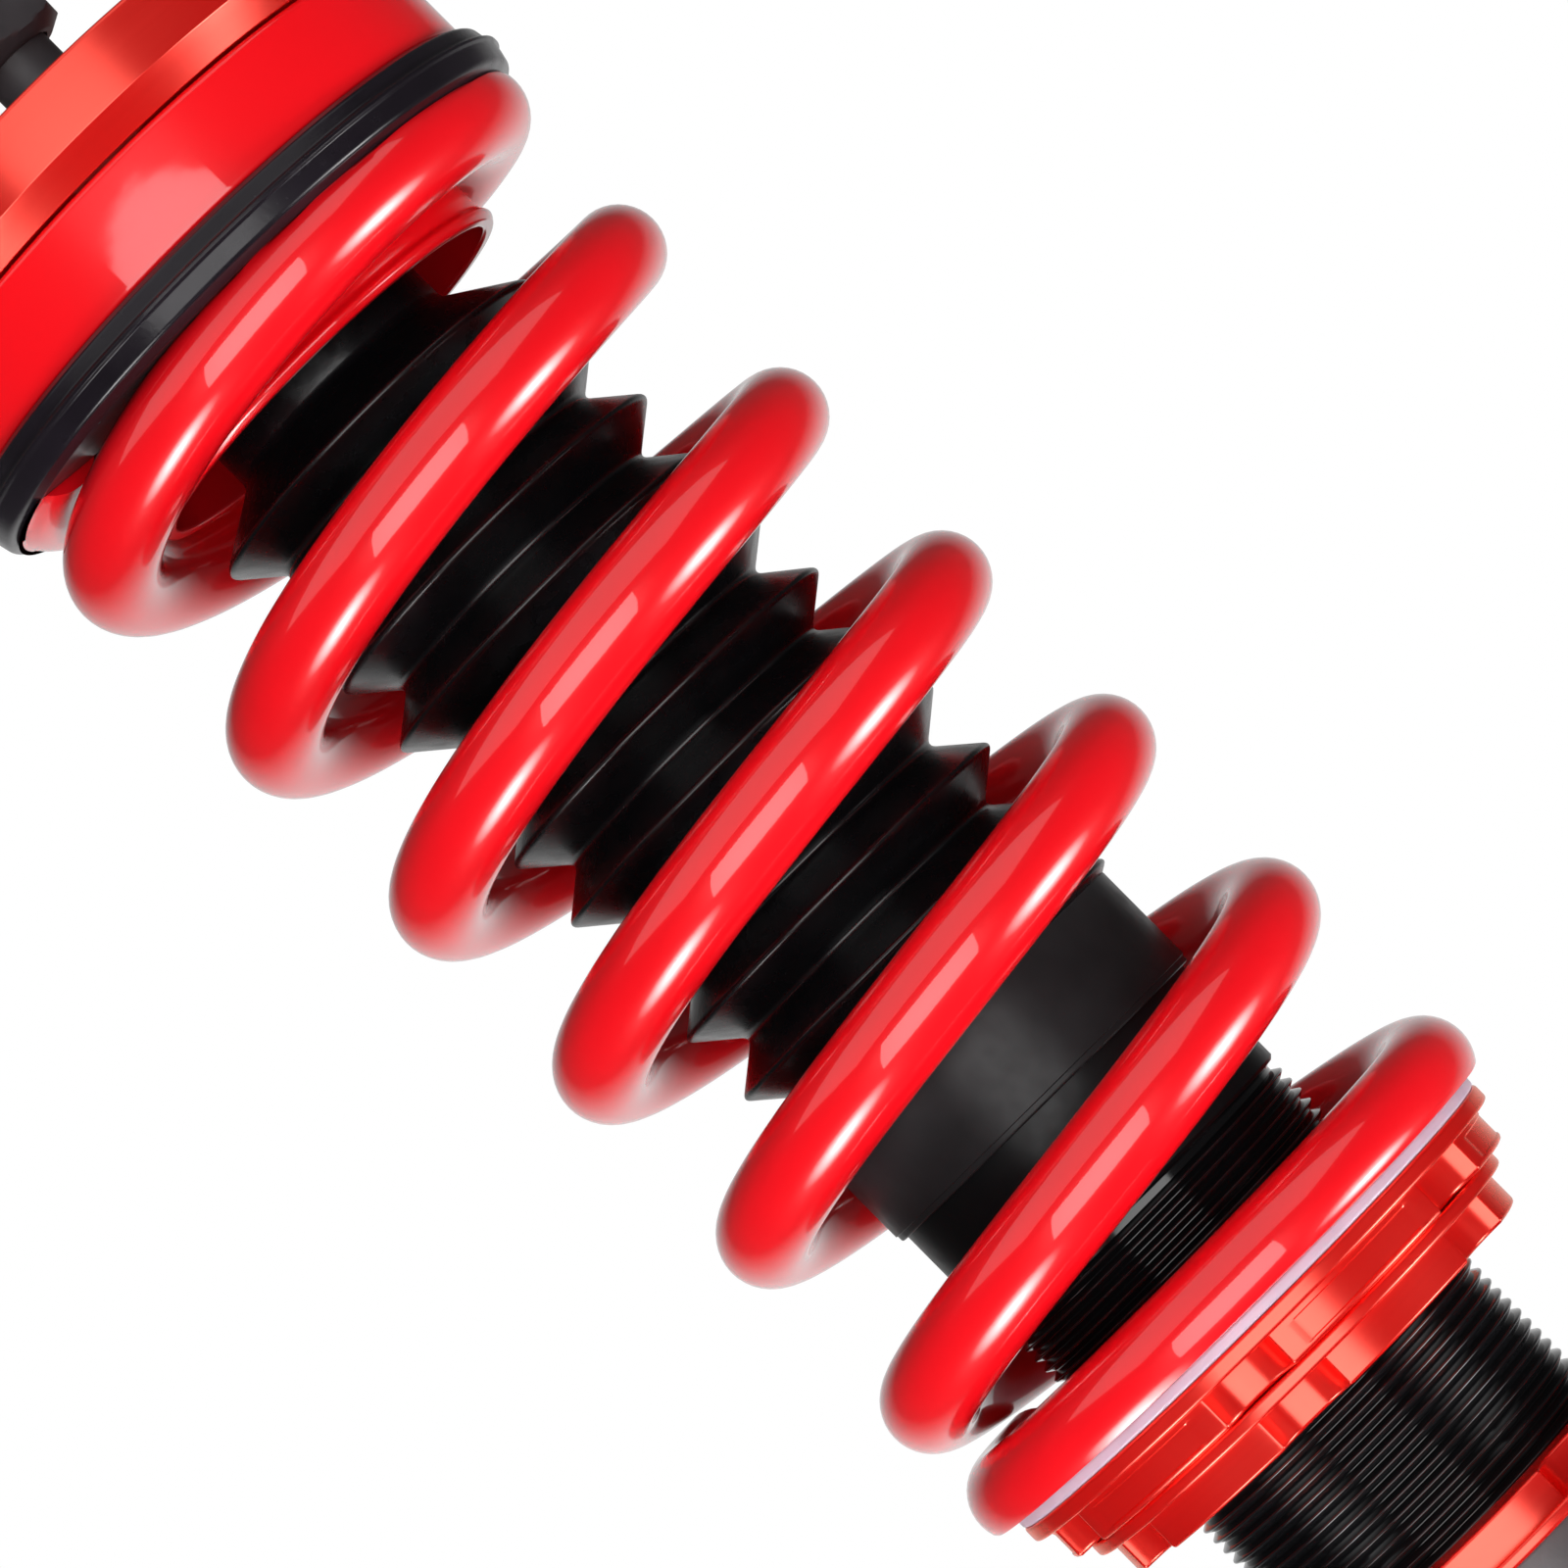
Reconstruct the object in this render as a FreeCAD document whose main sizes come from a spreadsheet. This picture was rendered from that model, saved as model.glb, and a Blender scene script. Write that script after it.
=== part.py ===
import FreeCAD, Part
import math
import os
import re

import Sketcher

# A coilover strut, in millimetres. +Z is up along the strut, the centre of the top plate's upper face is
# the origin, and the knuckle clevis points along +X. Heights are negative below the plate.

SIZES = {
    # top plate and its spherical bearing
    "plate_r": 52.0, "plate_rim": 9.7, "plate_thick": 13.9, "edge": 0.6,
    "race_r": 14.0, "race_depth": 3.0, "race_len": 9.6, "ball_r": 11.0, "ball_half": 7.4,
    "snap_thick": 1.2, "snap_reach": 1.2, "snap_inner_r": 12.0, "snap_gap": 5.0, "plate_lip_r": 12.4,
    "stud_circle_r": 40.0, "stud_r": 5.0, "stud_rise": 28.0, "stud_head_r": 7.0, "stud_head": 3.0,
    "stud_count": 3, "stud_shoulder_r": 5.4, "fit_gap": 0.05,
    # rod
    "pin_r": 5.75, "pin_top": 15.3, "shoulder_depth": 27.0, "rod_r": 11.0, "rod_len": 195.0,
    "tail_r": 6.0, "tail_len": 24.0, "needle_bore_r": 2.5,
    # rod nut, spacer, knob and metering needle
    "nut_flats": 18.0, "nut_high": 8.0, "spacer_r": 10.9, "spacer_shoulder": 6.75, "spacer_neck": 2.0,
    "knob_base": 13.6, "knob_high": 13.0, "knob_flats": 18.5, "knob_skirt_r": 9.9, "knob_chamfer": 1.6,
    "knob_cap_depth": 2.6, "knob_bore_gap": 0.4, "knob_stem_r": 2.0, "knob_stem_len": 9.0,
    "needle_r": 2.1, "needle_gap": 1.0, "needle_len": 228.0, "needle_tip": 6.0, "needle_tip_r": 0.6,
    # thrust bearing
    "thrust_in_r": 20.5, "thrust_out_r": 30.5, "thrust_race": 1.5, "thrust_ball_r": 1.6,
    "thrust_ball_count": 24, "thrust_gap": 0.1,
    # upper spring seat and isolator
    "perch_gap": 0.4, "perch_r": 48.0, "perch_base": 29.35, "perch_edge": 1.0, "perch_bore_r": 11.3,
    "perch_roof": 27.0, "cup_r": 32.5, "cup_in_r": 30.6, "cup_base": 51.1,
    "cup_lip": 0.9, "cup_lip_high": 2.4, "isolator_r": 51.1, "isolator_high": 8.3, "isolator_in_r": 33.2,
    "isolator_round": 2.4, "isolator_groove": 1.2,
    # bump stop and dust boot
    "washer_high": 2.0, "bump_r": 17.4, "bump_bore_r": 11.4, "bump_base": 96.4, "bump_waist": 3.2,
    "bump_waist_count": 3, "bump_first_waist": 0.095, "bump_waist_step": 0.25, "bump_waist_drop": 0.09,
    "bump_waist_rise": 0.09,
    "boot_peak_r": 30.6, "boot_valley_r": 23.5, "boot_pitch": 11.657, "boot_first_peak": 177.75,
    "boot_folds": 10, "boot_wall": 1.2, "boot_neck_r": 19.6, "boot_flange_r": 25.0, "boot_neck_base": 53.8,
    "cuff_r": 28.75, "cuff_top": 178.9, "cuff_base": 196.2, "boot_skin": 1.68,
    # damper tube
    "tube_r": 27.5, "tube_bore_r": 23.0, "tube_top": 177.4, "tube_base": 366.0, "thread_top": 216.5,
    "thread_r": 27.1, "thread_pitch": 2.0, "thread_depth": 1.2, "thread_relief": 2.0, "thread_crest": 0.24,
    # glands and seals
    "gland_high": 6.0, "gland_in_r": 15.0, "guide_high": 20.0, "guide_seat": 6.0, "seal_r": 16.0,
    "seal_high": 5.0, "bush_wall": 1.5, "bush_high": 11.0, "oring_r": 1.3, "wiper_high": 5.0,
    "slip": 0.05, "seal_slip": 0.02, "guide_slip": 0.2,
    # piston group
    "stop_high": 6.0, "stop_r": 16.0, "stop_depth": 203.8, "piston_high": 16.0, "piston_r": 22.9,
    "band_high": 8.0, "band_depth": 1.0, "port_r": 2.2, "port_circle_r": 14.0, "port_count": 8,
    "shim_thick": 0.3, "shim_gap": 0.02, "shim_count": 5, "shim_r": 18.0, "shim_step": 2.0,
    "piston_nut_flats": 19.0, "piston_nut_high": 6.0,
    # floating piston, base plug and gas valve
    "float_top": 312.0, "float_high": 14.0, "float_cup_r": 15.0, "float_cup": 6.0, "float_r": 22.92,
    "plug_high": 10.0, "valve_r": 4.0, "valve_head_r": 7.0, "valve_head": 3.0, "valve_key_r": 2.0,
    # coil spring
    "coil_r": 42.0, "wire_r": 7.0, "spring_top": 37.65, "spring_base": 235.15, "active_pitch": 32.95,
    "lower_pitch": 3.0, "upper_pitch": 11.0, "lower_knee": 10.0, "upper_knee": 2076.0, "knee_height": 230.95,
    "knee_width": 45.0, "wire_start": -212.0, "wire_finish": 2372.0, "coil_step": 15.0,
    # slip washer, seat ring and lock rings
    "slip_washer_high": 2.0, "slip_washer_r": 44.8, "slip_washer_in_r": 34.4, "ring_bore_r": 27.16,
    "seat_flange_r": 44.9, "seat_flange": 2.6, "seat_r": 42.5, "seat_high": 5.5, "seat_hub_r": 34.2,
    "seat_hub": 6.0, "seat_notch_angle": -10.0, "lock_gap": 0.15, "lock_flange_r": 39.8, "lock_flange": 2.2,
    "lock_r": 37.4, "lock_high": 5.3, "lock_notch_angle": -6.0, "notch_wide": 12.7, "notch_deep": 3.8,
    "notch_count": 6, "notch_slant": 3.8, "bracket_ring_base": 286.1, "bracket_flange": 1.9,
    "bracket_notch_high": 5.2, "bracket_notch_angle": 29.0,
    # lower bracket
    "sleeve_r": 31.6, "sleeve_len": 106.0, "sleeve_floor": 4.0, "drain_r": 4.0, "sleeve_edge": 0.8,
    "clevis_top": 306.0, "clevis_high": 86.0, "ear_reach": 72.0, "ear_gap": 30.0, "ear_thick": 5.0,
    "ear_cutter": 60.0, "web_back": 24.0, "web_front": 38.0, "web_round": 6.0, "ear_cut_high": 20.0,
    "ear_cut_long": 22.0,
    "knuckle_x": 56.0, "knuckle_upper": 324.0, "knuckle_lower": 380.0, "knuckle_r": 7.1,
    "link_tab_thick": 4.0, "link_tab_depth": 312.0, "link_tab_reach": 62.0, "link_tab_wide": 28.0,
    "link_bore_r": 6.1, "link_bore_y": 48.0, "hose_tab_depth": 352.0, "hose_tab_reach": 58.0,
    "hose_tab_wide": 24.0, "hose_tab_thick": 3.0, "hose_bore_r": 5.2, "hose_bore_x": 46.0,
    "tab_root": 26.0, "tab_corner": 4.8,
}

doc = FreeCAD.newDocument("coilover")
dim = doc.addObject("Spreadsheet::Sheet", "dim")
for row, (alias, value) in enumerate(SIZES.items(), start=1):
    dim.set("A%d" % row, alias)
    dim.set("B%d" % row, str(value))
    dim.setAlias("B%d" % row, alias)
doc.recompute()

PARTS = []


def sized(text):
    """The expression with each alias in it read from the sheet."""
    def cell(word):
        return "dim." + word.group() if word.group() in SIZES else word.group()
    return re.sub(r"[a-z]\w*", cell, text)


def value_of(text):
    return float(dim.evalExpression(sized(text)))


def plane_of(body, role):
    return next(feature for feature in body.Origin.OriginFeatures if feature.Role == role)


def new_body(label, height="0"):
    """A body whose own zero stands at the given height of the strut."""
    body = doc.addObject("PartDesign::Body", label)
    body.Label = label
    body.setExpression("Placement.Base.z", sized(height))
    PARTS.append(body)
    return body


def new_sketch(body, role, lift="0"):
    sketch = body.newObject("Sketcher::SketchObject", body.Label + "_sketch")
    sketch.AttachmentSupport = [(plane_of(body, role), "")]
    sketch.MapMode = "FlatFace"
    sketch.setExpression("AttachmentOffset.Base.z", sized(lift))
    return sketch


def hold(sketch, kind, name, geometry, point, text):
    """Ties one distance of the sketch to the sheet."""
    number = sketch.addConstraint(Sketcher.Constraint(kind, -1, 1, geometry, point, value_of(text)))
    sketch.renameConstraint(number, name)
    sketch.setExpression("Constraints." + name, sized(text))


def polygon(sketch, corners):
    """A closed outline, each corner held by its two distances from the sketch's origin."""
    first = sketch.GeometryCount
    points = [FreeCAD.Vector(value_of(across), value_of(along), 0) for across, along in corners]
    count = len(points)
    for index in range(count):
        sketch.addGeometry(Part.LineSegment(points[index], points[(index + 1) % count]))
    for index in range(count):
        following = first + (index + 1) % count
        sketch.addConstraint(Sketcher.Constraint("Coincident", first + index, 2, following, 1))
    for index, (across, along) in enumerate(corners):
        hold(sketch, "DistanceX", "across%d" % (first + index), first + index, 1, across)
        hold(sketch, "DistanceY", "along%d" % (first + index), first + index, 1, along)


def circle(sketch, radius, across="0", along="0"):
    centre = FreeCAD.Vector(value_of(across), value_of(along), 0)
    number = sketch.addGeometry(Part.Circle(centre, FreeCAD.Vector(0, 0, 1), value_of(radius)))
    hold(sketch, "DistanceX", "across%d" % number, number, 3, across)
    hold(sketch, "DistanceY", "along%d" % number, number, 3, along)
    constraint = sketch.addConstraint(Sketcher.Constraint("Radius", number, value_of(radius)))
    sketch.renameConstraint(constraint, "radius%d" % number)
    sketch.setExpression("Constraints.radius%d" % number, sized(radius))


def hexagon(sketch, flats):
    """A regular hexagon with two corners on the sketch's x axis."""
    corner_r = "%s / sqrt(3)" % flats
    turns = ["(360 / 6 * %d) * 1 deg" % index for index in range(6)]
    corners = [("%s * cos(%s)" % (corner_r, turn), "%s * sin(%s)" % (corner_r, turn)) for turn in turns]
    polygon(sketch, corners)


def feature(body, kind, sketch):
    made = body.newObject("PartDesign::" + kind, body.Label + "_" + kind.lower())
    made.Profile = sketch
    return made


def revolve(body, corners, kind="Revolution"):
    sketch = new_sketch(body, "XZ_Plane")
    polygon(sketch, corners)
    made = feature(body, kind, sketch)
    made.ReferenceAxis = (sketch, ["V_Axis"])
    made.Angle = 360
    return made


def turned(label, height, corners):
    """A piece turned about the strut's axis from its half section of (radius, height) corners."""
    body = new_body(label, height)
    revolve(body, corners)
    return body


def ring(label, height, inner, outer, high):
    """A plain ring hanging down from the given height."""
    return turned(label, height, [(inner, "0"), (outer, "0"), (outer, "-" + high), (inner, "-" + high)])


def pad(body, sketch, length):
    made = feature(body, "Pad", sketch)
    made.setExpression("Length", sized(length))
    return made


def pocket(body, sketch, length):
    """Cuts down from the sketch to the given length."""
    made = feature(body, "Pocket", sketch)
    made.setExpression("Length", sized(length))
    return made


def around(body, original, count):
    """Repeats a feature round the body's Z axis."""
    pattern = body.newObject("PartDesign::PolarPattern", body.Label + "_around")
    pattern.Originals = [original]
    pattern.Axis = (plane_of(body, "Z_Axis"), [""])
    pattern.Angle = 360
    pattern.setExpression("Occurrences", sized(count))
    body.Tip = pattern
    return pattern


def group(label, members):
    """Separate solids that share one node."""
    made = doc.addObject("Part::Compound", label)
    made.Label = label
    made.Links = members
    PARTS.append(made)


def shift(item, x, y, z):
    item.setExpression("Placement.Base.x", sized(x))
    item.setExpression("Placement.Base.y", sized(y))
    item.setExpression("Placement.Base.z", sized(z))


def make_top_plate():
    race_base = "-race_depth - race_len"
    body = turned("top_plate", "0", [
        ("race_r", "0"), ("plate_r - edge", "0"), ("plate_r", "-edge"), ("plate_r", "-plate_rim"),
        ("plate_r + plate_rim - plate_thick", "-plate_thick"), ("plate_lip_r", "-plate_thick"),
        ("plate_lip_r", race_base), ("race_r", race_base), ("race_r", "-race_depth"),
        ("race_r + snap_reach", "-race_depth"), ("race_r + snap_reach", "-race_depth + snap_thick"),
        ("race_r", "-race_depth + snap_thick")])
    sketch = new_sketch(body, "XY_Plane")
    circle(sketch, "stud_shoulder_r", "0", "stud_circle_r")
    around(body, pocket(body, sketch, "plate_thick"), "stud_count")
    sketch = new_sketch(body, "XY_Plane", "-plate_thick + stud_head")
    circle(sketch, "stud_head_r", "0", "stud_circle_r")
    around(body, pocket(body, sketch, "stud_head"), "stud_count")


def make_studs():
    """Pressed-in studs: a head under the plate, a shoulder through it and a thread above it."""
    studs = []
    lengths = [("stud_head_r", "-plate_thick", "stud_head"),
               ("stud_shoulder_r", "-plate_thick", "plate_thick"),
               ("stud_r", "0", "stud_rise")]
    for index in range(int(SIZES["stud_count"])):
        cylinders = []
        for radius, base, high in lengths:
            cylinder = doc.addObject("Part::Cylinder", "stud_length")
            cylinder.setExpression("Radius", sized(radius))
            cylinder.setExpression("Height", sized(high))
            shift(cylinder, "0", "0", base)
            cylinders.append(cylinder)
        stud = doc.addObject("Part::MultiFuse", "stud")
        stud.Shapes = cylinders
        turn = "(90 + 360 / stud_count * %d) * 1 deg" % index
        shift(stud, "stud_circle_r * cos(%s)" % turn, "stud_circle_r * sin(%s)" % turn, "0")
        studs.append(stud)
    group("mounting_studs", studs)


def make_spherical_bearing():
    race = new_body("bearing_race", "-race_depth - race_len / 2")
    mouth = "sqrt(ball_r * ball_r - race_len * race_len / 4)"
    revolve(race, [(mouth, "race_len / 2"), ("race_r", "race_len / 2"), ("race_r", "-race_len / 2"),
                   (mouth, "-race_len / 2")])
    sphere = race.newObject("PartDesign::SubtractiveSphere", "race_seat")
    sphere.setExpression("Radius", sized("ball_r + fit_gap"))
    ball = new_body("bearing_ball", "-race_depth - race_len / 2")
    sphere = ball.newObject("PartDesign::AdditiveSphere", "ball_sphere")
    sphere.setExpression("Radius", sized("ball_r"))
    for end in ("1", "-1"):
        far = "%s * 2 * ball_r" % end
        near = "%s * ball_half" % end
        revolve(ball, [("0", near), ("2 * ball_r", near), ("2 * ball_r", far), ("0", far)], "Groove")
    sketch = new_sketch(ball, "XY_Plane", "ball_r")
    circle(sketch, "pin_r")
    pocket(ball, sketch, "2 * ball_r")


def make_snap_ring():
    body = ring("snap_ring", "-race_depth + snap_thick", "snap_inner_r", "race_r + snap_reach", "snap_thick")
    sketch = new_sketch(body, "XY_Plane")
    polygon(sketch, [("0", "-snap_gap / 2"), ("plate_lip_r * 2", "-snap_gap / 2"),
                     ("plate_lip_r * 2", "snap_gap / 2"), ("0", "snap_gap / 2")])
    pocket(body, sketch, "snap_thick")


def make_thrust_bearing():
    middle = "(thrust_in_r + thrust_out_r) / 2"
    ring("thrust_race_upper", "-plate_thick", "thrust_in_r", "thrust_out_r", "thrust_race")
    balls = []
    for index in range(int(SIZES["thrust_ball_count"])):
        ball = doc.addObject("Part::Sphere", "thrust_ball")
        ball.setExpression("Radius", sized("thrust_ball_r"))
        turn = "360 / thrust_ball_count * %d * 1 deg" % index
        shift(ball, "%s * cos(%s)" % (middle, turn), "%s * sin(%s)" % (middle, turn),
              "-plate_thick - thrust_race - thrust_gap - thrust_ball_r")
        balls.append(ball)
    group("thrust_balls", balls)
    ring("thrust_race_lower", "-plate_thick - thrust_race - 2 * thrust_gap - 2 * thrust_ball_r",
         "thrust_in_r", "thrust_out_r", "thrust_race")


def make_rod():
    tail_top = "-shoulder_depth - rod_len"
    turned("piston_rod", "0", [
        ("needle_bore_r", "pin_top"), ("pin_r - edge", "pin_top"), ("pin_r", "pin_top - edge"),
        ("pin_r", "-shoulder_depth"), ("rod_r - edge", "-shoulder_depth"),
        ("rod_r", "-shoulder_depth - edge"), ("rod_r", tail_top + " + edge"),
        ("rod_r - edge", tail_top), ("tail_r", tail_top), ("tail_r", tail_top + " - tail_len"),
        ("needle_bore_r", tail_top + " - tail_len")])


def make_rod_nut():
    body = new_body("rod_nut", "-race_depth - race_len / 2 + ball_half")
    sketch = new_sketch(body, "XY_Plane")
    hexagon(sketch, "nut_flats")
    circle(sketch, "pin_r")
    pad(body, sketch, "nut_high")


def make_knob():
    body = new_body("adjuster_knob", "knob_base")
    sketch = new_sketch(body, "XY_Plane")
    hexagon(sketch, "knob_flats")
    pad(body, sketch, "knob_high")
    corner = "knob_flats / sqrt(3) + edge"
    revolve(body, [
        (corner, "-edge"), ("knob_skirt_r - knob_chamfer", "-edge"),
        ("knob_skirt_r - knob_chamfer", "0"), (corner, "knob_chamfer")], "Groove")
    revolve(body, [
        (corner, "knob_high + edge"), ("knob_skirt_r - knob_chamfer", "knob_high + edge"),
        ("knob_skirt_r - knob_chamfer", "knob_high"), (corner, "knob_high - knob_chamfer")], "Groove")
    sketch = new_sketch(body, "XY_Plane", "knob_cap_depth")
    circle(sketch, "pin_r + knob_bore_gap")
    pocket(body, sketch, "knob_cap_depth")
    sketch = new_sketch(body, "XY_Plane", "knob_cap_depth - knob_stem_len")
    circle(sketch, "knob_stem_r")
    pad(body, sketch, "knob_stem_len")


def make_needle():
    top = "knob_base + knob_cap_depth - knob_stem_len - needle_gap"
    turned("metering_needle", top, [
        ("0", "0"), ("needle_r", "0"), ("needle_r", "-needle_len"),
        ("needle_tip_r", "-needle_len - needle_tip"), ("0", "-needle_len - needle_tip")])


def make_lower_spacer():
    top = "shoulder_depth - race_depth - race_len / 2 - ball_half"
    turned("lower_spacer", "-shoulder_depth", [
        ("pin_r", "0"), ("spacer_r", "0"), ("spacer_r", "spacer_shoulder"),
        ("pin_r + spacer_neck", top), ("pin_r", top)])


def make_upper_spring_seat():
    pocket_floor = "perch_gap - 2 * (thrust_race + thrust_gap + thrust_ball_r)"
    turned("upper_spring_seat", "-plate_thick - perch_gap", [
        ("perch_bore_r", pocket_floor + " + edge"), ("thrust_in_r - fit_gap", pocket_floor + " + edge"),
        ("thrust_in_r - fit_gap", pocket_floor), ("thrust_out_r + edge", pocket_floor),
        ("thrust_out_r + edge", "0"), ("perch_r - perch_edge", "0"), ("perch_r", "-perch_edge"),
        ("perch_r", "plate_thick + perch_gap - perch_base + perch_edge"),
        ("perch_r - perch_edge", "plate_thick + perch_gap - perch_base"),
        ("cup_r", "plate_thick + perch_gap - perch_base"),
        ("cup_r", "plate_thick + perch_gap - cup_base + cup_lip_high"),
        ("cup_r + cup_lip", "plate_thick + perch_gap - cup_base + cup_lip_high / 2"),
        ("cup_r", "plate_thick + perch_gap - cup_base"), ("cup_in_r", "plate_thick + perch_gap - cup_base"),
        ("cup_in_r", "plate_thick + perch_gap - perch_roof"),
        ("perch_bore_r", "plate_thick + perch_gap - perch_roof")])


def make_isolator():
    turned("rubber_isolator", "-perch_base", [
        ("isolator_in_r", "0"), ("isolator_r - isolator_round", "0"), ("isolator_r", "-isolator_round"),
        ("isolator_r - isolator_groove", "-isolator_high / 2"),
        ("isolator_r", "isolator_round - isolator_high"),
        ("isolator_r - isolator_round", "-isolator_high"), ("isolator_in_r", "-isolator_high")])


def make_bump_stop():
    """A foam sleeve with waists that let it fold, hanging from a steel washer."""
    ring("bump_stop_washer", "-perch_roof", "rod_r + fit_gap", "bump_r", "washer_high")
    length = "(bump_base - perch_roof - washer_high)"
    outline = [("bump_bore_r", "0"), ("bump_r", "0")]
    for waist in range(int(SIZES["bump_waist_count"])):
        start = "bump_first_waist + bump_waist_step * %d" % waist
        outline.append(("bump_r", "-%s * (%s)" % (length, start)))
        outline.append(("bump_r - bump_waist", "-%s * (%s + bump_waist_drop)" % (length, start)))
        outline.append(("bump_r", "-%s * (%s + bump_waist_drop + bump_waist_rise)" % (length, start)))
    outline += [("bump_r - bump_waist", "-" + length), ("bump_bore_r", "-" + length)]
    turned("bump_stop", "-perch_roof - washer_high", outline)


def make_dust_boot():
    """Bellows: the outer zigzag from the cuff to the cup, and the same line one wall further in."""
    outer = [("cuff_r", "0"), ("boot_peak_r", "cuff_top - boot_first_peak")]
    inner = [("cuff_r - boot_wall", "0"), ("boot_peak_r - boot_skin", "cuff_top - boot_first_peak")]
    for fold in range(int(SIZES["boot_folds"])):
        valley = "cuff_top - boot_first_peak + boot_pitch * %g" % (fold + 0.5)
        peak = "cuff_top - boot_first_peak + boot_pitch * %d" % (fold + 1)
        outer += [("boot_valley_r", valley), ("boot_peak_r", peak)]
        inner += [("boot_valley_r - boot_skin", valley), ("boot_peak_r - boot_skin", peak)]
    neck = "cuff_top - boot_neck_base"
    top = "cuff_top - perch_roof"
    outer += [("boot_neck_r", neck), ("boot_neck_r", top + " - boot_wall"),
              ("boot_flange_r", top + " - boot_wall"), ("boot_flange_r", top)]
    inner += [("boot_neck_r - boot_wall", neck), ("boot_neck_r - boot_wall", top)]
    turned("dust_boot", "-cuff_top", outer + inner[::-1])


def make_boot_cuff():
    turned("boot_cuff", "-cuff_top", [
        ("tube_r", "0"), ("cuff_r", "0"), ("cuff_r", "cuff_top - cuff_base"),
        ("tube_r", "cuff_top - cuff_base")])


def make_damper_tube():
    base = "tube_top - tube_base"
    start = "tube_top - thread_top"
    body = turned("damper_tube", "-tube_top", [
        ("tube_bore_r", "0"), ("tube_r - edge", "0"), ("tube_r", "-edge"),
        ("tube_r", start + " + thread_relief"),
        ("thread_r - thread_depth", start + " + thread_relief"), ("thread_r - thread_depth", start),
        ("thread_r", start), ("thread_r", base), ("tube_bore_r", base)])
    groove = revolve(body, [
        ("thread_r + edge", start + " - thread_crest / 2"),
        ("thread_r", start + " - thread_crest / 2"),
        ("thread_r - thread_depth", start + " - thread_pitch / 2"),
        ("thread_r", start + " + thread_crest / 2 - thread_pitch"),
        ("thread_r + edge", start + " + thread_crest / 2 - thread_pitch")], "Groove")
    turns = "floor((tube_base - thread_top) / thread_pitch)"
    pattern = body.newObject("PartDesign::LinearPattern", "thread_turns")
    pattern.Originals = [groove]
    pattern.Direction = (plane_of(body, "Z_Axis"), [""])
    pattern.Reversed = True
    pattern.setExpression("Length", sized("thread_pitch * (%s - 1)" % turns))
    pattern.setExpression("Occurrences", sized(turns))
    body.Tip = pattern


def make_gland():
    ring("gland_nut", "-tube_top", "gland_in_r", "tube_bore_r", "gland_high")
    turned("wiper_seal", "-tube_top", [
        ("rod_r + seal_slip", "0"), ("gland_in_r", "-edge"), ("gland_in_r", "-wiper_high"),
        ("rod_r + seal_slip", "-wiper_high")])
    turned("rod_guide", "-tube_top - gland_high", [
        ("seal_r", "0"), ("tube_bore_r", "0"), ("tube_bore_r", "-guide_seat - oring_r"),
        ("tube_bore_r - oring_r", "-guide_seat - oring_r"),
        ("tube_bore_r - oring_r", "-guide_seat - 3 * oring_r"),
        ("tube_bore_r", "-guide_seat - 3 * oring_r"), ("tube_bore_r", "-guide_high"),
        ("rod_r + bush_wall", "-guide_high"), ("rod_r + bush_wall", "bush_high - guide_high"),
        ("rod_r + guide_slip", "bush_high - guide_high"), ("rod_r + guide_slip", "-seal_high"),
        ("seal_r", "-seal_high")])
    ring("rod_seal", "-tube_top - gland_high", "rod_r + seal_slip", "seal_r", "seal_high")
    ring("guide_bush", "-tube_top - gland_high + bush_high - guide_high", "rod_r + slip", "rod_r + bush_wall",
         "bush_high")
    oring("gland_oring", "-tube_top - gland_high - guide_seat - 2 * oring_r", "tube_bore_r - oring_r / 2")


def oring(label, height, reach):
    """An O-ring squashed to a rounded square section inside the given outer radius."""
    turned(label, height, [
        (reach + " - oring_r / 2", "oring_r"), (reach + " + oring_r / 2", "oring_r / 2"),
        (reach + " + oring_r / 2", "-oring_r / 2"), (reach + " - oring_r / 2", "-oring_r")])


def make_piston():
    ring("rebound_stop", "-stop_depth", "rod_r", "stop_r", "stop_high")
    tail_top = "-shoulder_depth - rod_len"
    stack = "shim_count * (shim_thick + shim_gap)"
    piston_top = tail_top + " - " + stack
    body = turned("piston", piston_top, [
        ("tail_r", "0"), ("piston_r", "0"), ("piston_r", "(band_high - piston_high) / 2"),
        ("piston_r - band_depth", "(band_high - piston_high) / 2"),
        ("piston_r - band_depth", "-(band_high + piston_high) / 2"),
        ("piston_r", "-(band_high + piston_high) / 2"), ("piston_r", "-piston_high"),
        ("tail_r", "-piston_high")])
    sketch = new_sketch(body, "XY_Plane")
    circle(sketch, "port_r", "port_circle_r")
    around(body, pocket(body, sketch, "piston_high"), "port_count")
    ring("piston_band", piston_top + " + (band_high - piston_high) / 2", "piston_r - band_depth",
         "tube_bore_r - slip", "band_high")
    make_shims("rebound_shims", tail_top, 1)
    make_shims("compression_shims", piston_top + " - piston_high", -1)
    nut = new_body("piston_nut", piston_top + " - piston_high - %s - piston_nut_high" % stack)
    sketch = new_sketch(nut, "XY_Plane")
    hexagon(sketch, "piston_nut_flats")
    circle(sketch, "tail_r")
    pad(nut, sketch, "piston_nut_high")


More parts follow.
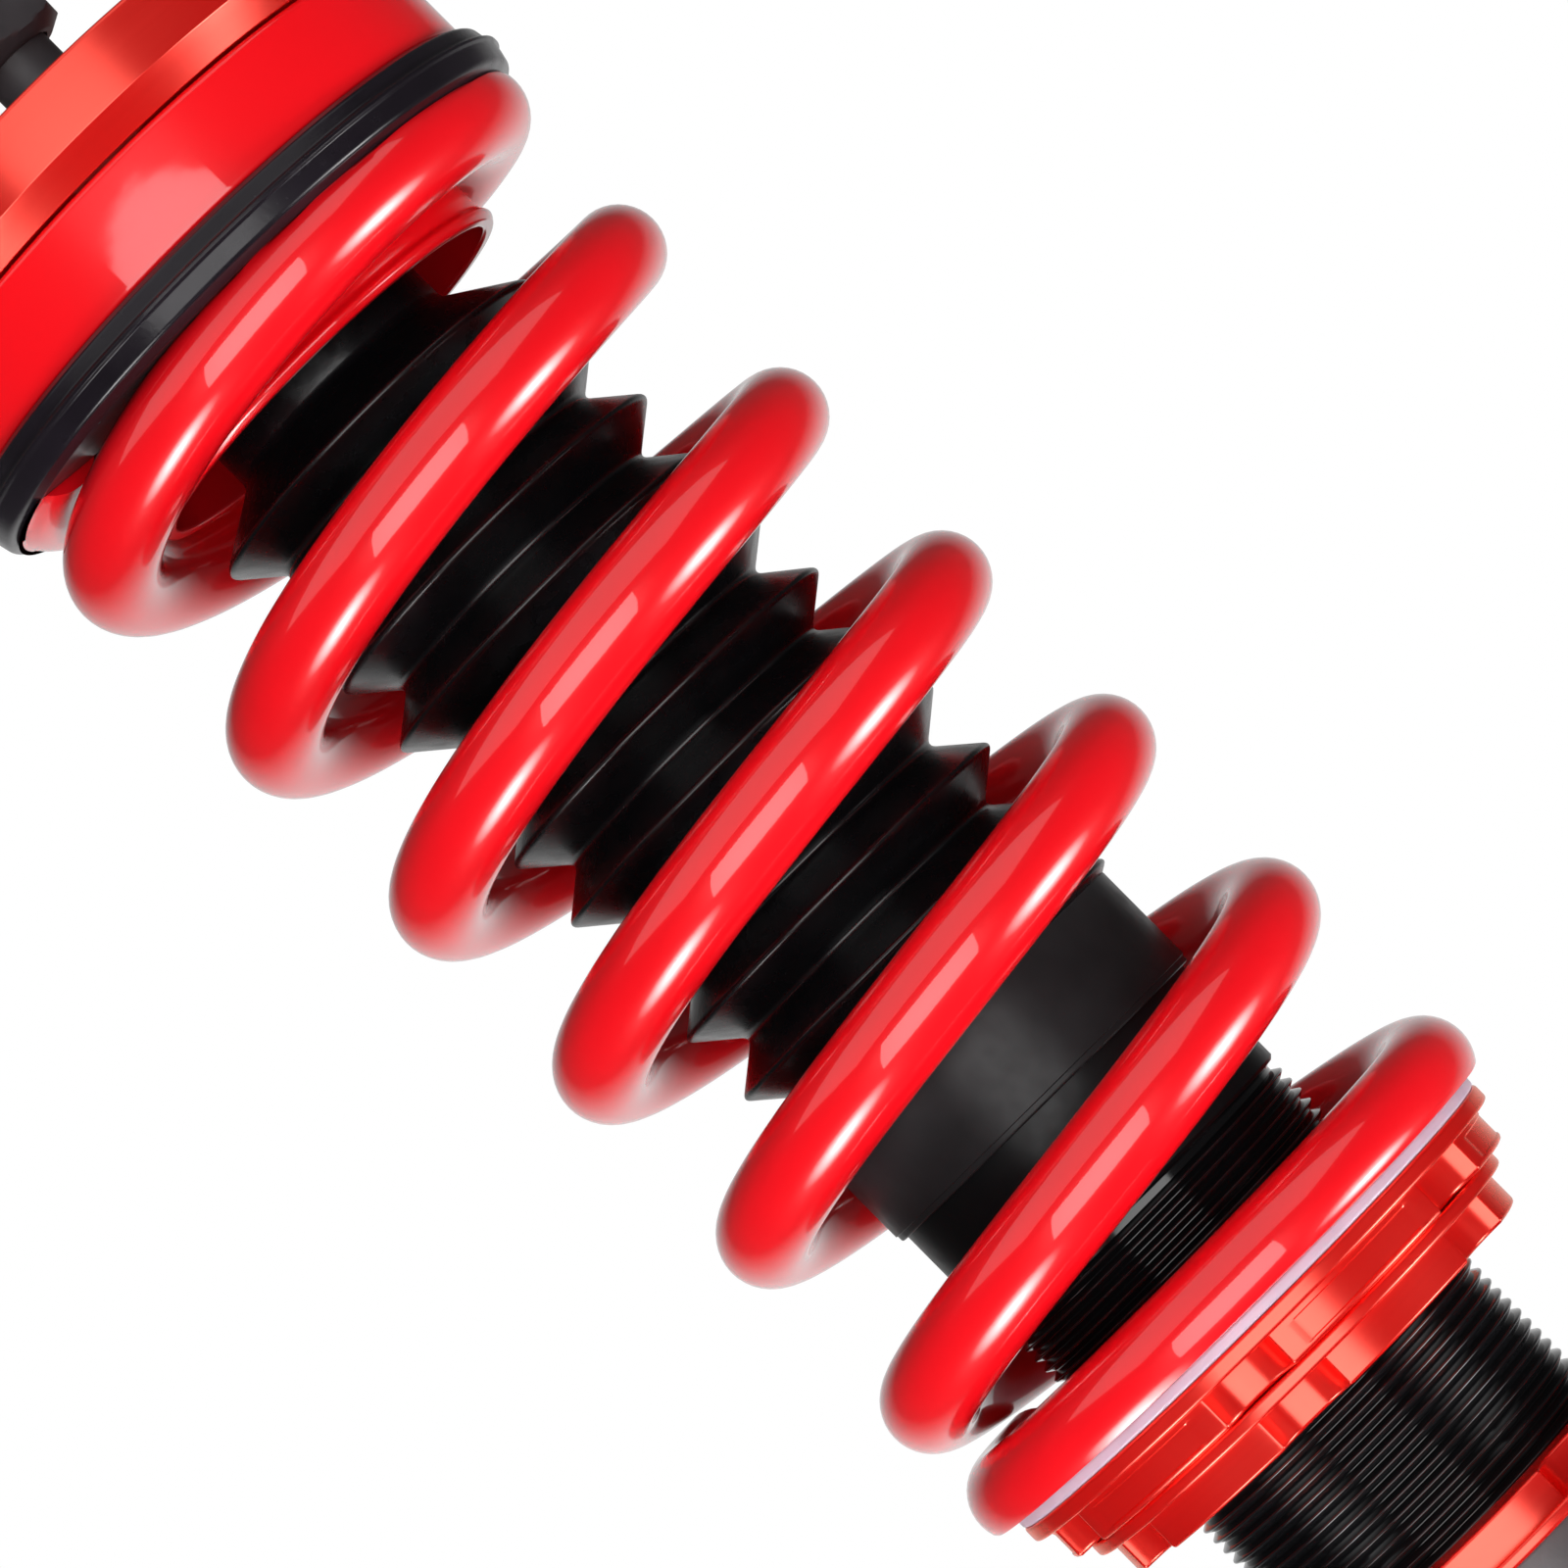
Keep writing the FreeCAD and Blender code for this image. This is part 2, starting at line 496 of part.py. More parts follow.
def make_shims(label, top, widening):
    """A stack of spring-steel discs that is widest against the piston."""
    shims = []
    count = int(SIZES["shim_count"])
    for index in range(count):
        steps = count - 1 - index if widening > 0 else index
        disc = doc.addObject("Part::Cylinder", "shim_disc")
        disc.setExpression("Radius", sized("shim_r - shim_step * %d" % steps))
        disc.setExpression("Height", sized("shim_thick"))
        hole = doc.addObject("Part::Cylinder", "shim_hole")
        hole.setExpression("Radius", sized("tail_r"))
        hole.setExpression("Height", sized("shim_thick"))
        shim = doc.addObject("Part::Cut", "shim")
        shim.Base = disc
        shim.Tool = hole
        shift(shim, "0", "0", "%s - (shim_thick + shim_gap) * %d - shim_thick" % (top, index))
        shims.append(shim)
    group(label, shims)


def make_floating_piston():
    turned("floating_piston", "-float_top", [
        ("0", "0"), ("float_r", "0"), ("float_r", "-float_high / 2 + oring_r"),
        ("tube_bore_r - 2 * oring_r", "-float_high / 2 + oring_r"),
        ("tube_bore_r - 2 * oring_r", "-float_high / 2 - oring_r"), ("float_r", "-float_high / 2 - oring_r"),
        ("float_r", "-float_high"), ("float_cup_r", "-float_high"), ("float_cup_r", "float_cup - float_high"),
        ("0", "float_cup - float_high")])
    oring("floating_piston_oring", "-float_top - float_high / 2", "tube_bore_r - oring_r - slip")


def make_base_plug():
    turned("base_plug", "-tube_base + plug_high", [
        ("valve_r", "0"), ("tube_bore_r", "0"), ("tube_bore_r", "-plug_high"),
        ("valve_head_r + edge", "-plug_high"), ("valve_head_r + edge", "valve_head - plug_high"),
        ("valve_r", "valve_head - plug_high")])
    screw = turned("gas_valve_screw", "-tube_base", [
        ("0", "plug_high"), ("valve_r", "plug_high"), ("valve_r", "valve_head"),
        ("valve_head_r", "valve_head"),
        ("valve_head_r", "edge"), ("0", "edge")])
    sketch = new_sketch(screw, "XY_Plane", "valve_head / 2 + edge")
    hexagon(sketch, "2 * valve_key_r")
    pocket(screw, sketch, "valve_head")


def knee(distance, width):
    """Zero before a knee and the distance past it, with a rounded corner of the given half width."""
    if distance < -width:
        return 0.0
    if distance > width:
        return distance
    return (distance + width) ** 2 / (4 * width)


def wire_height(angle):
    """Height of the wire's centre: slow closed coils at both ends and a steady pitch between."""
    lower_pitch = value_of("lower_pitch")
    active_pitch = value_of("active_pitch")
    width = value_of("knee_width")
    past_lower = knee(angle - value_of("lower_knee"), width)
    past_upper = knee(angle - value_of("upper_knee"), width)
    height = -value_of("knee_height") + lower_pitch * (angle - value_of("lower_knee")) / 360
    height += (active_pitch - lower_pitch) * past_lower / 360
    return height - (active_pitch - value_of("upper_pitch")) * past_upper / 360


def make_spring():
    """Right-handed coil with closed ends ground flat; no feature sweeps a pitch that changes."""
    coil_r = value_of("coil_r")
    wire_r = value_of("wire_r")
    start = value_of("wire_start")
    finish = value_of("wire_finish")
    steps = round((finish - start) / value_of("coil_step"))
    points = []
    for index in range(steps + 1):
        angle = start + (finish - start) * index / steps
        turn = math.radians(angle)
        points.append(FreeCAD.Vector(coil_r * math.cos(turn), coil_r * math.sin(turn), wire_height(angle)))
    line = Part.BSplineCurve()
    line.interpolate(points)
    section = Part.Circle(points[0], points[1] - points[0], wire_r)
    wire = Part.Wire([line.toShape()]).makePipeShell([Part.Wire([section.toShape()])], True, True)
    outer = coil_r + 2 * wire_r
    base = -value_of("spring_base")
    length = -value_of("spring_top") - base
    slab = Part.makeCylinder(outer, length, FreeCAD.Vector(0, 0, base))
    spring = doc.addObject("Part::Feature", "coil_spring")
    spring.Label = "coil_spring"
    spring.Shape = wire.common(slab)
    spring.Placement = FreeCAD.Placement()
    PARTS.append(spring)


def cut_notches(body, radius, top, high, angle):
    """Spanner notches with slanted flanks round a ring's rim."""
    sketch = new_sketch(body, "XY_Plane", top)
    sketch.setExpression("AttachmentOffset.Rotation.Angle", sized("(%s) * 1 deg" % angle))
    polygon(sketch, [
        ("-notch_wide / 2", "-%s - edge" % radius), ("notch_wide / 2", "-%s - edge" % radius),
        ("notch_wide / 2 - notch_slant", "-%s + notch_deep" % radius),
        ("notch_slant - notch_wide / 2", "-%s + notch_deep" % radius)])
    around(body, pocket(body, sketch, high), "notch_count")


def make_spring_seat():
    ring("slip_washer", "-spring_base", "slip_washer_in_r", "slip_washer_r", "slip_washer_high")
    rim_top = "-seat_flange"
    body = turned("spring_seat_ring", "-spring_base - slip_washer_high", [
        ("ring_bore_r", "seat_hub"), ("seat_hub_r - edge", "seat_hub"), ("seat_hub_r", "seat_hub - edge"),
        ("seat_hub_r", "0"), ("seat_flange_r", "0"), ("seat_flange_r", rim_top), ("seat_r", rim_top),
        ("seat_r", rim_top + " - seat_high"), ("ring_bore_r", rim_top + " - seat_high")])
    cut_notches(body, "seat_r", rim_top, "seat_high", "seat_notch_angle")
    top = "-spring_base - slip_washer_high - seat_flange - seat_high - lock_gap"
    body = turned("seat_lock_ring", top, [
        ("ring_bore_r", "0"), ("lock_flange_r", "0"), ("lock_flange_r", "-lock_flange"),
        ("lock_r", "-lock_flange"),
        ("lock_r", "-lock_flange - lock_high"), ("ring_bore_r", "-lock_flange - lock_high")])
    cut_notches(body, "lock_r", "-lock_flange", "lock_high", "lock_notch_angle")


def make_bracket_ring():
    notched = "bracket_flange + bracket_notch_high"
    body = turned("bracket_lock_ring", "-bracket_ring_base", [
        ("ring_bore_r", "0"), ("lock_flange_r", "0"), ("lock_flange_r", "bracket_flange"),
        ("lock_r", "bracket_flange"), ("lock_r", notched), ("ring_bore_r", notched)])
    cut_notches(body, "lock_r", notched, "bracket_notch_high", "bracket_notch_angle")


def make_bracket_sleeve():
    floor_top = "sleeve_floor - sleeve_len"
    turned("bracket_sleeve", "-bracket_ring_base - lock_gap", [
        ("ring_bore_r", "0"), ("sleeve_r - sleeve_edge", "0"), ("sleeve_r", "-sleeve_edge"),
        ("sleeve_r", "-sleeve_len + sleeve_edge"), ("sleeve_r - sleeve_edge", "-sleeve_len"),
        ("drain_r", "-sleeve_len"), ("drain_r", floor_top), ("ring_bore_r", floor_top)])


def make_clevis():
    """A bent steel channel welded round the sleeve, whose two ears take the knuckle."""
    half = "(ear_gap / 2 + ear_thick)"
    body = new_body("knuckle_clevis", "-clevis_top - clevis_high")
    sketch = new_sketch(body, "XY_Plane")
    polygon(sketch, [
        ("web_back", "-" + half), ("ear_reach", "-" + half), ("ear_reach", "-ear_gap / 2"),
        ("web_front + web_round", "-ear_gap / 2"), ("web_front", "web_round - ear_gap / 2"),
        ("web_front", "ear_gap / 2 - web_round"), ("web_front + web_round", "ear_gap / 2"),
        ("ear_reach", "ear_gap / 2"), ("ear_reach", half), ("web_back", half)])
    pad(body, sketch, "clevis_high")
    sketch = new_sketch(body, "XY_Plane", "clevis_high")
    circle(sketch, "sleeve_r")
    pocket(body, sketch, "clevis_high")
    sketch = new_sketch(body, "XZ_Plane", "-ear_cutter")
    polygon(sketch, [
        ("ear_reach - ear_cut_long", "clevis_high + edge"), ("ear_reach + edge", "clevis_high + edge"),
        ("ear_reach + edge", "clevis_high - ear_cut_high")])
    cut_across(body, sketch)
    for depth in ("knuckle_upper", "knuckle_lower"):
        sketch = new_sketch(body, "XZ_Plane", "-ear_cutter")
        circle(sketch, "knuckle_r", "knuckle_x", "clevis_top + clevis_high - %s" % depth)
        cut_across(body, sketch)


def cut_across(body, sketch):
    """Cuts a sketch of the X-Z plane through both ears."""
    across = pocket(body, sketch, "2 * ear_cutter")
    across.Reversed = True


def make_tabs():
    """Flat tabs welded to the sleeve: one for the anti-roll bar link, one for the brake hose."""
    make_tab("link_tab", "link_bore_y", 90)
    make_tab("hose_tab", "hose_bore_x", 180)


def make_tab(label, bore_reach, angle):
    """A tab with cut corners and a bore, drawn along +X and turned about the strut's axis."""
    half = "%s_wide / 2" % label
    reach = label + "_reach"
    body = new_body(label, "-%s_depth" % label)
    sketch = new_sketch(body, "XY_Plane")
    sketch.setExpression("AttachmentOffset.Rotation.Angle", "%d deg" % angle)
    polygon(sketch, [
        ("tab_root", "-" + half), (reach + " - tab_corner", "-" + half), (reach, "tab_corner - " + half),
        (reach, half + " - tab_corner"), (reach + " - tab_corner", half), ("tab_root", half)])
    circle(sketch, label.replace("tab", "bore_r"), bore_reach)
    pad(body, sketch, label + "_thick")
    sketch = new_sketch(body, "XY_Plane", label + "_thick")
    circle(sketch, "sleeve_r")
    pocket(body, sketch, label + "_thick")


def check_document():
    doc.recompute()
    for item in doc.Objects:
        if "Invalid" in item.State or "Error" in item.State:
            raise RuntimeError("%s did not recompute: %s" % (item.Name, item.State))
    for part in PARTS:
        if part.Shape.isNull() or not part.Shape.isValid() or part.Shape.Volume <= 0:
            raise RuntimeError("%s has no valid shape" % part.Label)


def write_parts():
    os.makedirs("parts", exist_ok=True)
    for part in PARTS:
        part.Shape.exportStep("parts/%s.step" % part.Label)


make_top_plate()
make_studs()
make_spherical_bearing()
make_snap_ring()
make_thrust_bearing()
make_rod()
make_rod_nut()
make_knob()
make_needle()
make_lower_spacer()
make_upper_spring_seat()
make_isolator()
make_bump_stop()
make_dust_boot()
make_boot_cuff()
make_damper_tube()
make_gland()
make_piston()
make_floating_piston()
make_base_plug()
make_spring()
make_spring_seat()
make_bracket_ring()
make_bracket_sleeve()
make_clevis()
make_tabs()
check_document()
write_parts()
for part in PARTS:
    box = part.Shape.BoundBox
    print("%-22s %9.1f mm3  z %.2f to %.2f" % (part.Label, part.Shape.Volume, box.ZMin, box.ZMax))
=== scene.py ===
import math

import bmesh
import bpy
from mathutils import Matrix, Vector, noise


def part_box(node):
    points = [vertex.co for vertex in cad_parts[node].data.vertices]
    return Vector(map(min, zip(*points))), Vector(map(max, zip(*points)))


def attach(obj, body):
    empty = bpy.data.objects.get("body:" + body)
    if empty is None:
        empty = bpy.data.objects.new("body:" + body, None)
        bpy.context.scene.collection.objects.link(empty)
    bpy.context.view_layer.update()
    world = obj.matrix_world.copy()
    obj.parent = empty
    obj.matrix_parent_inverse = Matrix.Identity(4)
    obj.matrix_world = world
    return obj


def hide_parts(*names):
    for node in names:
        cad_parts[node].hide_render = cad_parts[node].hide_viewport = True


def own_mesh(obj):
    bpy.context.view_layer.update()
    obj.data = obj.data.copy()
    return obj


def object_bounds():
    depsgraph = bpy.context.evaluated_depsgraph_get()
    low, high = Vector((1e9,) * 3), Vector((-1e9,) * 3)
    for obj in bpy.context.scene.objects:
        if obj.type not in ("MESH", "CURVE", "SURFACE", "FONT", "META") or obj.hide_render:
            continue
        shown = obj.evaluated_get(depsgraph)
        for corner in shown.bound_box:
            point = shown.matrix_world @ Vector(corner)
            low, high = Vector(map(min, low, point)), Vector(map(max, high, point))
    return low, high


# Looks for a coilover strut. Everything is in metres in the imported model's frame: +Z is up the strut and the
# origin is the centre of the top plate's upper face.

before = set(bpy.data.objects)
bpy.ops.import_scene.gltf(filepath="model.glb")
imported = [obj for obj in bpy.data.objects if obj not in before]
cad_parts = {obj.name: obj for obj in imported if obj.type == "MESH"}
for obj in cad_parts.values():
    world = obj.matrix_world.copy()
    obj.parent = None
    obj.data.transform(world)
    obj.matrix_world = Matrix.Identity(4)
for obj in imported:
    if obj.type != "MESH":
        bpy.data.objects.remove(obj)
CAD_LOW, CAD_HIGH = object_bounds()

ROUND = 192
SMALL_ROUND = 96
SHARP = math.radians(38)
EDGE = 0.0005
TINY = 1e-7

# strut sizes that boxes don't give
WIRE_R = 0.007
THREAD_PITCH = 0.002
THREAD_DEPTH = 0.0012
STUD_COUNT = 3
NOTCH_COUNT = 6
NOTCH_WIDE = 0.0127
NOTCH_DEEP = 0.0038
NOTCH_FLOOR = 0.002
PANEL_EDGE = 0.0008
PANEL_DEEP = 0.0002
PIN_R = 0.00575
RING_BORE_R = 0.02716
WELD_LIFT = 0.0003

# angle of the side that the camera sees, and the ways that the bracket's two tabs stick out
FRONT = math.radians(-90)
LINK_WAY = Vector((0, 1))
HOSE_WAY = Vector((-1, 0))

# one turn of the thread from root to root, as shares of its pitch and of its depth
THREAD_SHAPE = ((0.0, 0.0), (0.05, 0.0), (0.41, 0.93), (0.49, 1.0), (0.55, 1.0), (0.63, 0.93))

# camera, worked out from the strut's own perspective
CAMERA_PLACE = (0.0, -1.02254, -0.18701)
CAMERA_PAN = math.radians(0.2984)
CAMERA_TILT = math.radians(2.7492)
CAMERA_ROLL = math.radians(-44.7397)
CAMERA_LENS = 164.68
CAMERA_SENSOR = 36

LIGHT_CENTRE = Vector((0, 0, -0.15))
WHITE = (1, 1, 1, 1)

# the part of a noise pattern's range that most of it lies in
NOISE_LOW = 0.3
NOISE_HIGH = 0.7


def low_of(node):
    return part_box(node)[0].z


def high_of(node):
    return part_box(node)[1].z


def radius_of(node):
    """Outer radius of a node that is turned about the strut's axis."""
    low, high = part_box(node)
    return max(high.x, high.y, -low.x, -low.y)


# -------- materials


def add(material, kind, inputs=(), **settings):
    """A shader node with its inputs set or linked, and its outputs."""
    made = material.node_tree.nodes.new("ShaderNode" + kind)
    for name, value in settings.items():
        setattr(made, name, value)
    for key, value in dict(inputs).items():
        if isinstance(value, bpy.types.NodeSocket):
            material.node_tree.links.new(value, made.inputs[key])
        else:
            made.inputs[key].default_value = value
    return made.outputs


def new_material(name, colour, roughness, metallic=0.0, **sockets):
    material = bpy.data.materials.new(name)
    material.use_nodes = True
    shader = material.node_tree.nodes["Principled BSDF"]
    shader.inputs["Base Color"].default_value = (*colour, 1)
    shader.inputs["Roughness"].default_value = roughness
    shader.inputs["Metallic"].default_value = metallic
    for socket, value in sockets.items():
        shader.inputs[socket.replace("_", " ")].default_value = value
    return material


def feed(material, socket, output):
    shader = material.node_tree.nodes["Principled BSDF"]
    material.node_tree.links.new(output, shader.inputs[socket])


def place_in(material):
    """Coordinates in metres that move with the piece."""
    return add(material, "TexCoord")["Object"]


def rings_in(material):
    """Coordinates that run out from the strut's axis and up it, for patterns left by turning."""
    split = add(material, "SeparateXYZ", {0: place_in(material)})
    across = add(material, "CombineXYZ", {0: split[0], 1: split[1]})
    radius = add(material, "VectorMath", {0: across[0]}, operation="LENGTH")["Value"]
    return add(material, "CombineXYZ", {0: radius, 2: split[2]})[0]


def flutes_in(material):
    """Coordinates that hardly change up the strut, for patterns left by a cutter that ran along it."""
    along = 0.03
    return add(material, "Mapping", {"Vector": place_in(material), "Scale": (1, 1, along)})[0]


def noise_in(material, place, scale, detail=3.0):
    return add(material, "TexNoise", {"Vector": place, "Scale": scale, "Detail": detail})[0]


def vary_colour(material, factor, dark, light):
    ramp = material.node_tree.nodes.new("ShaderNodeValToRGB")
    material.node_tree.links.new(factor, ramp.inputs[0])
    for end, colour, position in zip(ramp.color_ramp.elements, (dark, light), (NOISE_LOW, NOISE_HIGH)):
        end.color = (*colour, 1)
        end.position = position
    feed(material, "Base Color", ramp.outputs[0])


def vary_roughness(material, factor, smooth, rough):
    spread = add(material, "MapRange", {"Value": factor, "From Min": NOISE_LOW, "From Max": NOISE_HIGH,
                                        "To Min": smooth, "To Max": rough})
    feed(material, "Roughness", spread[0])


def shade(colour, share):
    return tuple(channel * share for channel in colour)


def raise_bumps(material, height, distance, strength, socket="Normal"):
    bump = add(material, "Bump", {"Height": height, "Distance": distance, "Strength": strength})
    feed(material, socket, bump[0])


def gloss_paint(name, colour, deep, peel_depth):
    """Powder coat under clear gloss, with the faint orange peel that flow-out leaves."""
    strength = 0.35
    material = new_material(name, colour, 0.3, Specular_IOR_Level=0.25, Coat_Weight=1.0, Coat_Roughness=0.035)
    place = place_in(material)
    vary_colour(material, noise_in(material, place, scale=30), deep, colour)
    peel = noise_in(material, place, scale=260, detail=1.0)
    raise_bumps(material, peel, 1.5 * peel_depth, strength)
    raise_bumps(material, peel, peel_depth, strength, "Coat Normal")
    return material


def anodised(name, tool_marks, mark_scale, mark_depth):
    """Dyed anodising over cut aluminium: a red film with bright metal behind it, and fine tool marks."""
    quarter_turn = 0.25
    film = {"IOR": 2.2, "Specular_Tint": (1, 1, 0.7, 1)}
    material = new_material(name, (0.85, 0.006, 0.006), 0.24, 0.5, Anisotropic=0.45,
                            Anisotropic_Rotation=quarter_turn, **film)
    around = add(material, "Tangent", direction_type="RADIAL", axis="Z")[0]
    feed(material, "Tangent", around)
    marks = noise_in(material, tool_marks(material), mark_scale, detail=2.0)
    vary_colour(material, marks, (0.83, 0.0055, 0.0055), (0.88, 0.0065, 0.0065))
    vary_roughness(material, marks, smooth=0.23, rough=0.26)
    fine_marks = noise_in(material, tool_marks(material), 4 * mark_scale, detail=2.0)
    raise_bumps(material, fine_marks, mark_depth, strength=0.1)
    return material


def turned_metal(name, colour, roughness, ring_depth=0.000008):
    """Bare metal with tool rings and soft stains."""
    material = new_material(name, colour, roughness, 1.0)
    rings = rings_in(material)
    darker = shade(colour, 0.82)
    vary_colour(material, noise_in(material, place_in(material), scale=160), darker, colour)
    marks = noise_in(material, rings, scale=1800, detail=2.0)
    vary_roughness(material, marks, roughness * 0.75, roughness * 1.35)
    raise_bumps(material, noise_in(material, rings, scale=4000, detail=2.0), ring_depth, strength=0.6)
    return material


def plated_steel(name, colour, roughness):
    """Bright zinc or oxide over steel, mottled where the plating is thicker."""
    material = new_material(name, colour, roughness, 1.0)
    place = place_in(material)
    darker = shade(colour, 0.7)
    vary_colour(material, noise_in(material, place, scale=420, detail=4.0), darker, colour)
    mottle = noise_in(material, place, scale=900, detail=4.0)
    vary_roughness(material, mottle, roughness * 0.7, roughness * 1.5)
    raise_bumps(material, noise_in(material, place, scale=2500, detail=4.0), distance=0.00001, strength=0.5)
    return material


def satin_coat(name, colour, roughness, grain, depth, specular=0.5):
    """Satin coating or moulded plastic with a fine grain."""
    material = new_material(name, colour, roughness, Specular_IOR_Level=specular)
    place = place_in(material)
    lighter = shade(colour, 1.5)
    vary_colour(material, noise_in(material, place, scale=90), colour, lighter)
    vary_roughness(material, noise_in(material, place, scale=350), roughness * 0.88, roughness * 1.15)
    raise_bumps(material, noise_in(material, place, grain, detail=5.0), depth, strength=0.6)
    return material


def rubber(name, colour, roughness, sheen, specular):
    """Moulded rubber: soft sheen, faint flow marks and a dusting of bloom."""
    material = new_material(name, colour, roughness, Sheen_Weight=sheen, Sheen_Roughness=0.4,
                            Specular_IOR_Level=specular)
    place = place_in(material)
    bloom = shade(colour, 1.8)
    vary_colour(material, noise_in(material, place, scale=60, detail=5.0), colour, bloom)
    flow = noise_in(material, place, scale=220, detail=4.0)
    vary_roughness(material, flow, roughness * 0.8, roughness * 1.25)
    raise_bumps(material, noise_in(material, place, scale=1200, detail=5.0), distance=0.00003, strength=0.5)
    return material


def foam():
    """Microcellular foam: open pores over a creamy yellow."""
    material = new_material("bump_foam", (0.62, 0.48, 0.20), 0.85)
    place = place_in(material)
    pores = add(material, "TexVoronoi", {"Vector": place, "Scale": 1400})[0]
    vary_colour(material, noise_in(material, place, scale=300), (0.50, 0.37, 0.14), (0.68, 0.54, 0.25))
    raise_bumps(material, pores, distance=0.0002, strength=0.7)
    return material


def nylon():
    """Milky moulded nylon that lets a little light in."""
    material = new_material("nylon", (0.50, 0.40, 0.49), 0.38, Subsurface_Weight=0.1, Subsurface_Scale=0.001)
    place = place_in(material)
    vary_colour(material, noise_in(material, place, scale=150), (0.46, 0.37, 0.46), (0.53, 0.43, 0.53))
    raise_bumps(material, noise_in(material, place, scale=900), distance=0.00001, strength=0.5)
    return material


def slot_name(material):
    """A finish's own name, without the number that tells a second material of that name apart."""
    return material.name.split(".")[0]


MATERIALS = {slot_name(made): made for made in (
    anodised("anodised_red", rings_in, mark_scale=1000, mark_depth=0.000006),
    gloss_paint("gloss_red", (0.88, 0.003, 0.009), (0.84, 0.003, 0.008), peel_depth=0.00001),
    gloss_paint("spring_red", (0.82, 0.004, 0.010), (0.75, 0.003, 0.008), peel_depth=0.00004),
    turned_metal("bare_aluminium", (0.78, 0.78, 0.80), roughness=0.28),
    satin_coat("black_coat", (0.004, 0.004, 0.0045), 0.34, grain=1500, depth=0.00001, specular=0.22),
    satin_coat("bracket_grey", (0.045, 0.045, 0.048), 0.42, grain=1100, depth=0.00005),
    satin_coat("black_steel", (0.030, 0.028, 0.031), 0.5, grain=1500, depth=0.00001),
    plated_steel("zinc_steel", (0.66, 0.66, 0.68), roughness=0.3),
    turned_metal("bearing_steel", (0.72, 0.73, 0.76), roughness=0.12, ring_depth=0.000003),
    turned_metal("chrome_rod", (0.80, 0.81, 0.83), roughness=0.07, ring_depth=0.000001),
    turned_metal("spring_steel", (0.46, 0.46, 0.50), roughness=0.3),
    rubber("isolator_rubber", (0.0065, 0.0048, 0.0070), 0.22, sheen=0.02, specular=0.3),
    rubber("boot_rubber", (0.0022, 0.0021, 0.0026), 0.27, sheen=0.0, specular=0.45),
    rubber("seal_rubber", (0.012, 0.012, 0.013), 0.45, sheen=0.1, specular=0.5),
    foam(),
    satin_coat("ptfe", (0.16, 0.22, 0.17), 0.5, grain=800, depth=0.00001),
    nylon(),
    turned_metal("bronze", (0.58, 0.37, 0.19), roughness=0.35),
    satin_coat("cuff_plastic", (0.014, 0.0138, 0.0148), 0.36, grain=1700, depth=0.000012, specular=0.22),
)}
MILLED = anodised("anodised_milled", flutes_in, mark_scale=900, mark_depth=0.000012)
WORN_THREAD = satin_coat("black_thread", (0.004, 0.004, 0.0045), 0.12, grain=1500, depth=0.000004)


# -------- mesh work


def polar(radius, turn, height=0.0):
    return Vector((radius * math.cos(turn), radius * math.sin(turn), height))


def ring_points(radius, height, count=ROUND):
    return [polar(radius, math.tau * index / count, height) for index in range(count)]


def rounded(corners, radius=EDGE, steps=4):
    """A closed outline with each corner turned into a small curve. A corner may bring its own radius."""
    outline = []
    for index, corner in enumerate(corners):
        own = corner[2] if len(corner) > 2 else radius
        point = Vector(corner[:2])
        back = Vector(corners[index - 1][:2]) - point
        ahead = Vector(corners[(index + 1) % len(corners)][:2]) - point
        cut = own / math.tan(back.angle(ahead) / 2) if own else 0
        cut = min(cut, 0.45 * back.length, 0.45 * ahead.length)
        if cut < TINY:
            outline.append(point)
            continue
        start = point + back.normalized() * cut
        end = point + ahead.normalized() * cut
        for step in range(steps + 1):
            part = step / steps
            outline.append(start * (1 - part) ** 2 + point * 2 * part * (1 - part) + end * part ** 2)
    return outline


def loft(rows, closed=True):
    """Points and faces of a skin over rows with the same number of points."""
    count = len(rows[0])
    points = [point for row in rows for point in row]
    faces = []
    for row in range(len(rows) if closed else len(rows) - 1):
        below = row * count
        above = (row + 1) % len(rows) * count
        for index in range(count):
            following = (index + 1) % count
            faces.append((below + index, below + following, above + following, above + index))
    return points, faces


def turned(outline, count=ROUND, closed=True):
    """Points and faces turned from an outline of (radius, height)."""
    return loft([ring_points(radius, height, count) for radius, height in outline], closed)


def joined(parts):
    """Several sets of points and faces as one."""
    points = []
    faces = []
    for part_points, part_faces in parts:
        start = len(points)
        points += part_points
        faces += [tuple(start + index for index in face) for face in part_faces]
    return points, faces


def moved(part, shift):
    return [point + shift for point in part[0]], part[1]


def tidy(mesh, sharp=SHARP):
    """Merges doubled points, turns faces outwards and keeps only real corners crisp."""
    work = bmesh.new()
    work.from_mesh(mesh)
    bmesh.ops.remove_doubles(work, verts=work.verts, dist=TINY)
    bmesh.ops.dissolve_degenerate(work, edges=work.edges, dist=TINY)
    bmesh.ops.recalc_face_normals(work, faces=work.faces)
    for face in work.faces:
        face.smooth = True
    for edge in work.edges:
        edge.smooth = edge.calc_face_angle(0) < sharp
    work.to_mesh(mesh)
    work.free()


def new_mesh(name, part, sharp=SHARP):
    mesh = bpy.data.meshes.new(name)
    mesh.from_pydata(part[0], [], part[1])
    tidy(mesh, sharp)
    return mesh


def new_object(name, mesh):
    made = bpy.data.objects.new(name, mesh)
    bpy.context.scene.collection.objects.link(made)
    return made


def apply_modifiers(piece):
    bpy.context.view_layer.update()
    shaped = bpy.data.meshes.new_from_object(piece.evaluated_get(bpy.context.evaluated_depsgraph_get()))
    piece.modifiers.clear()
    piece.data = shaped


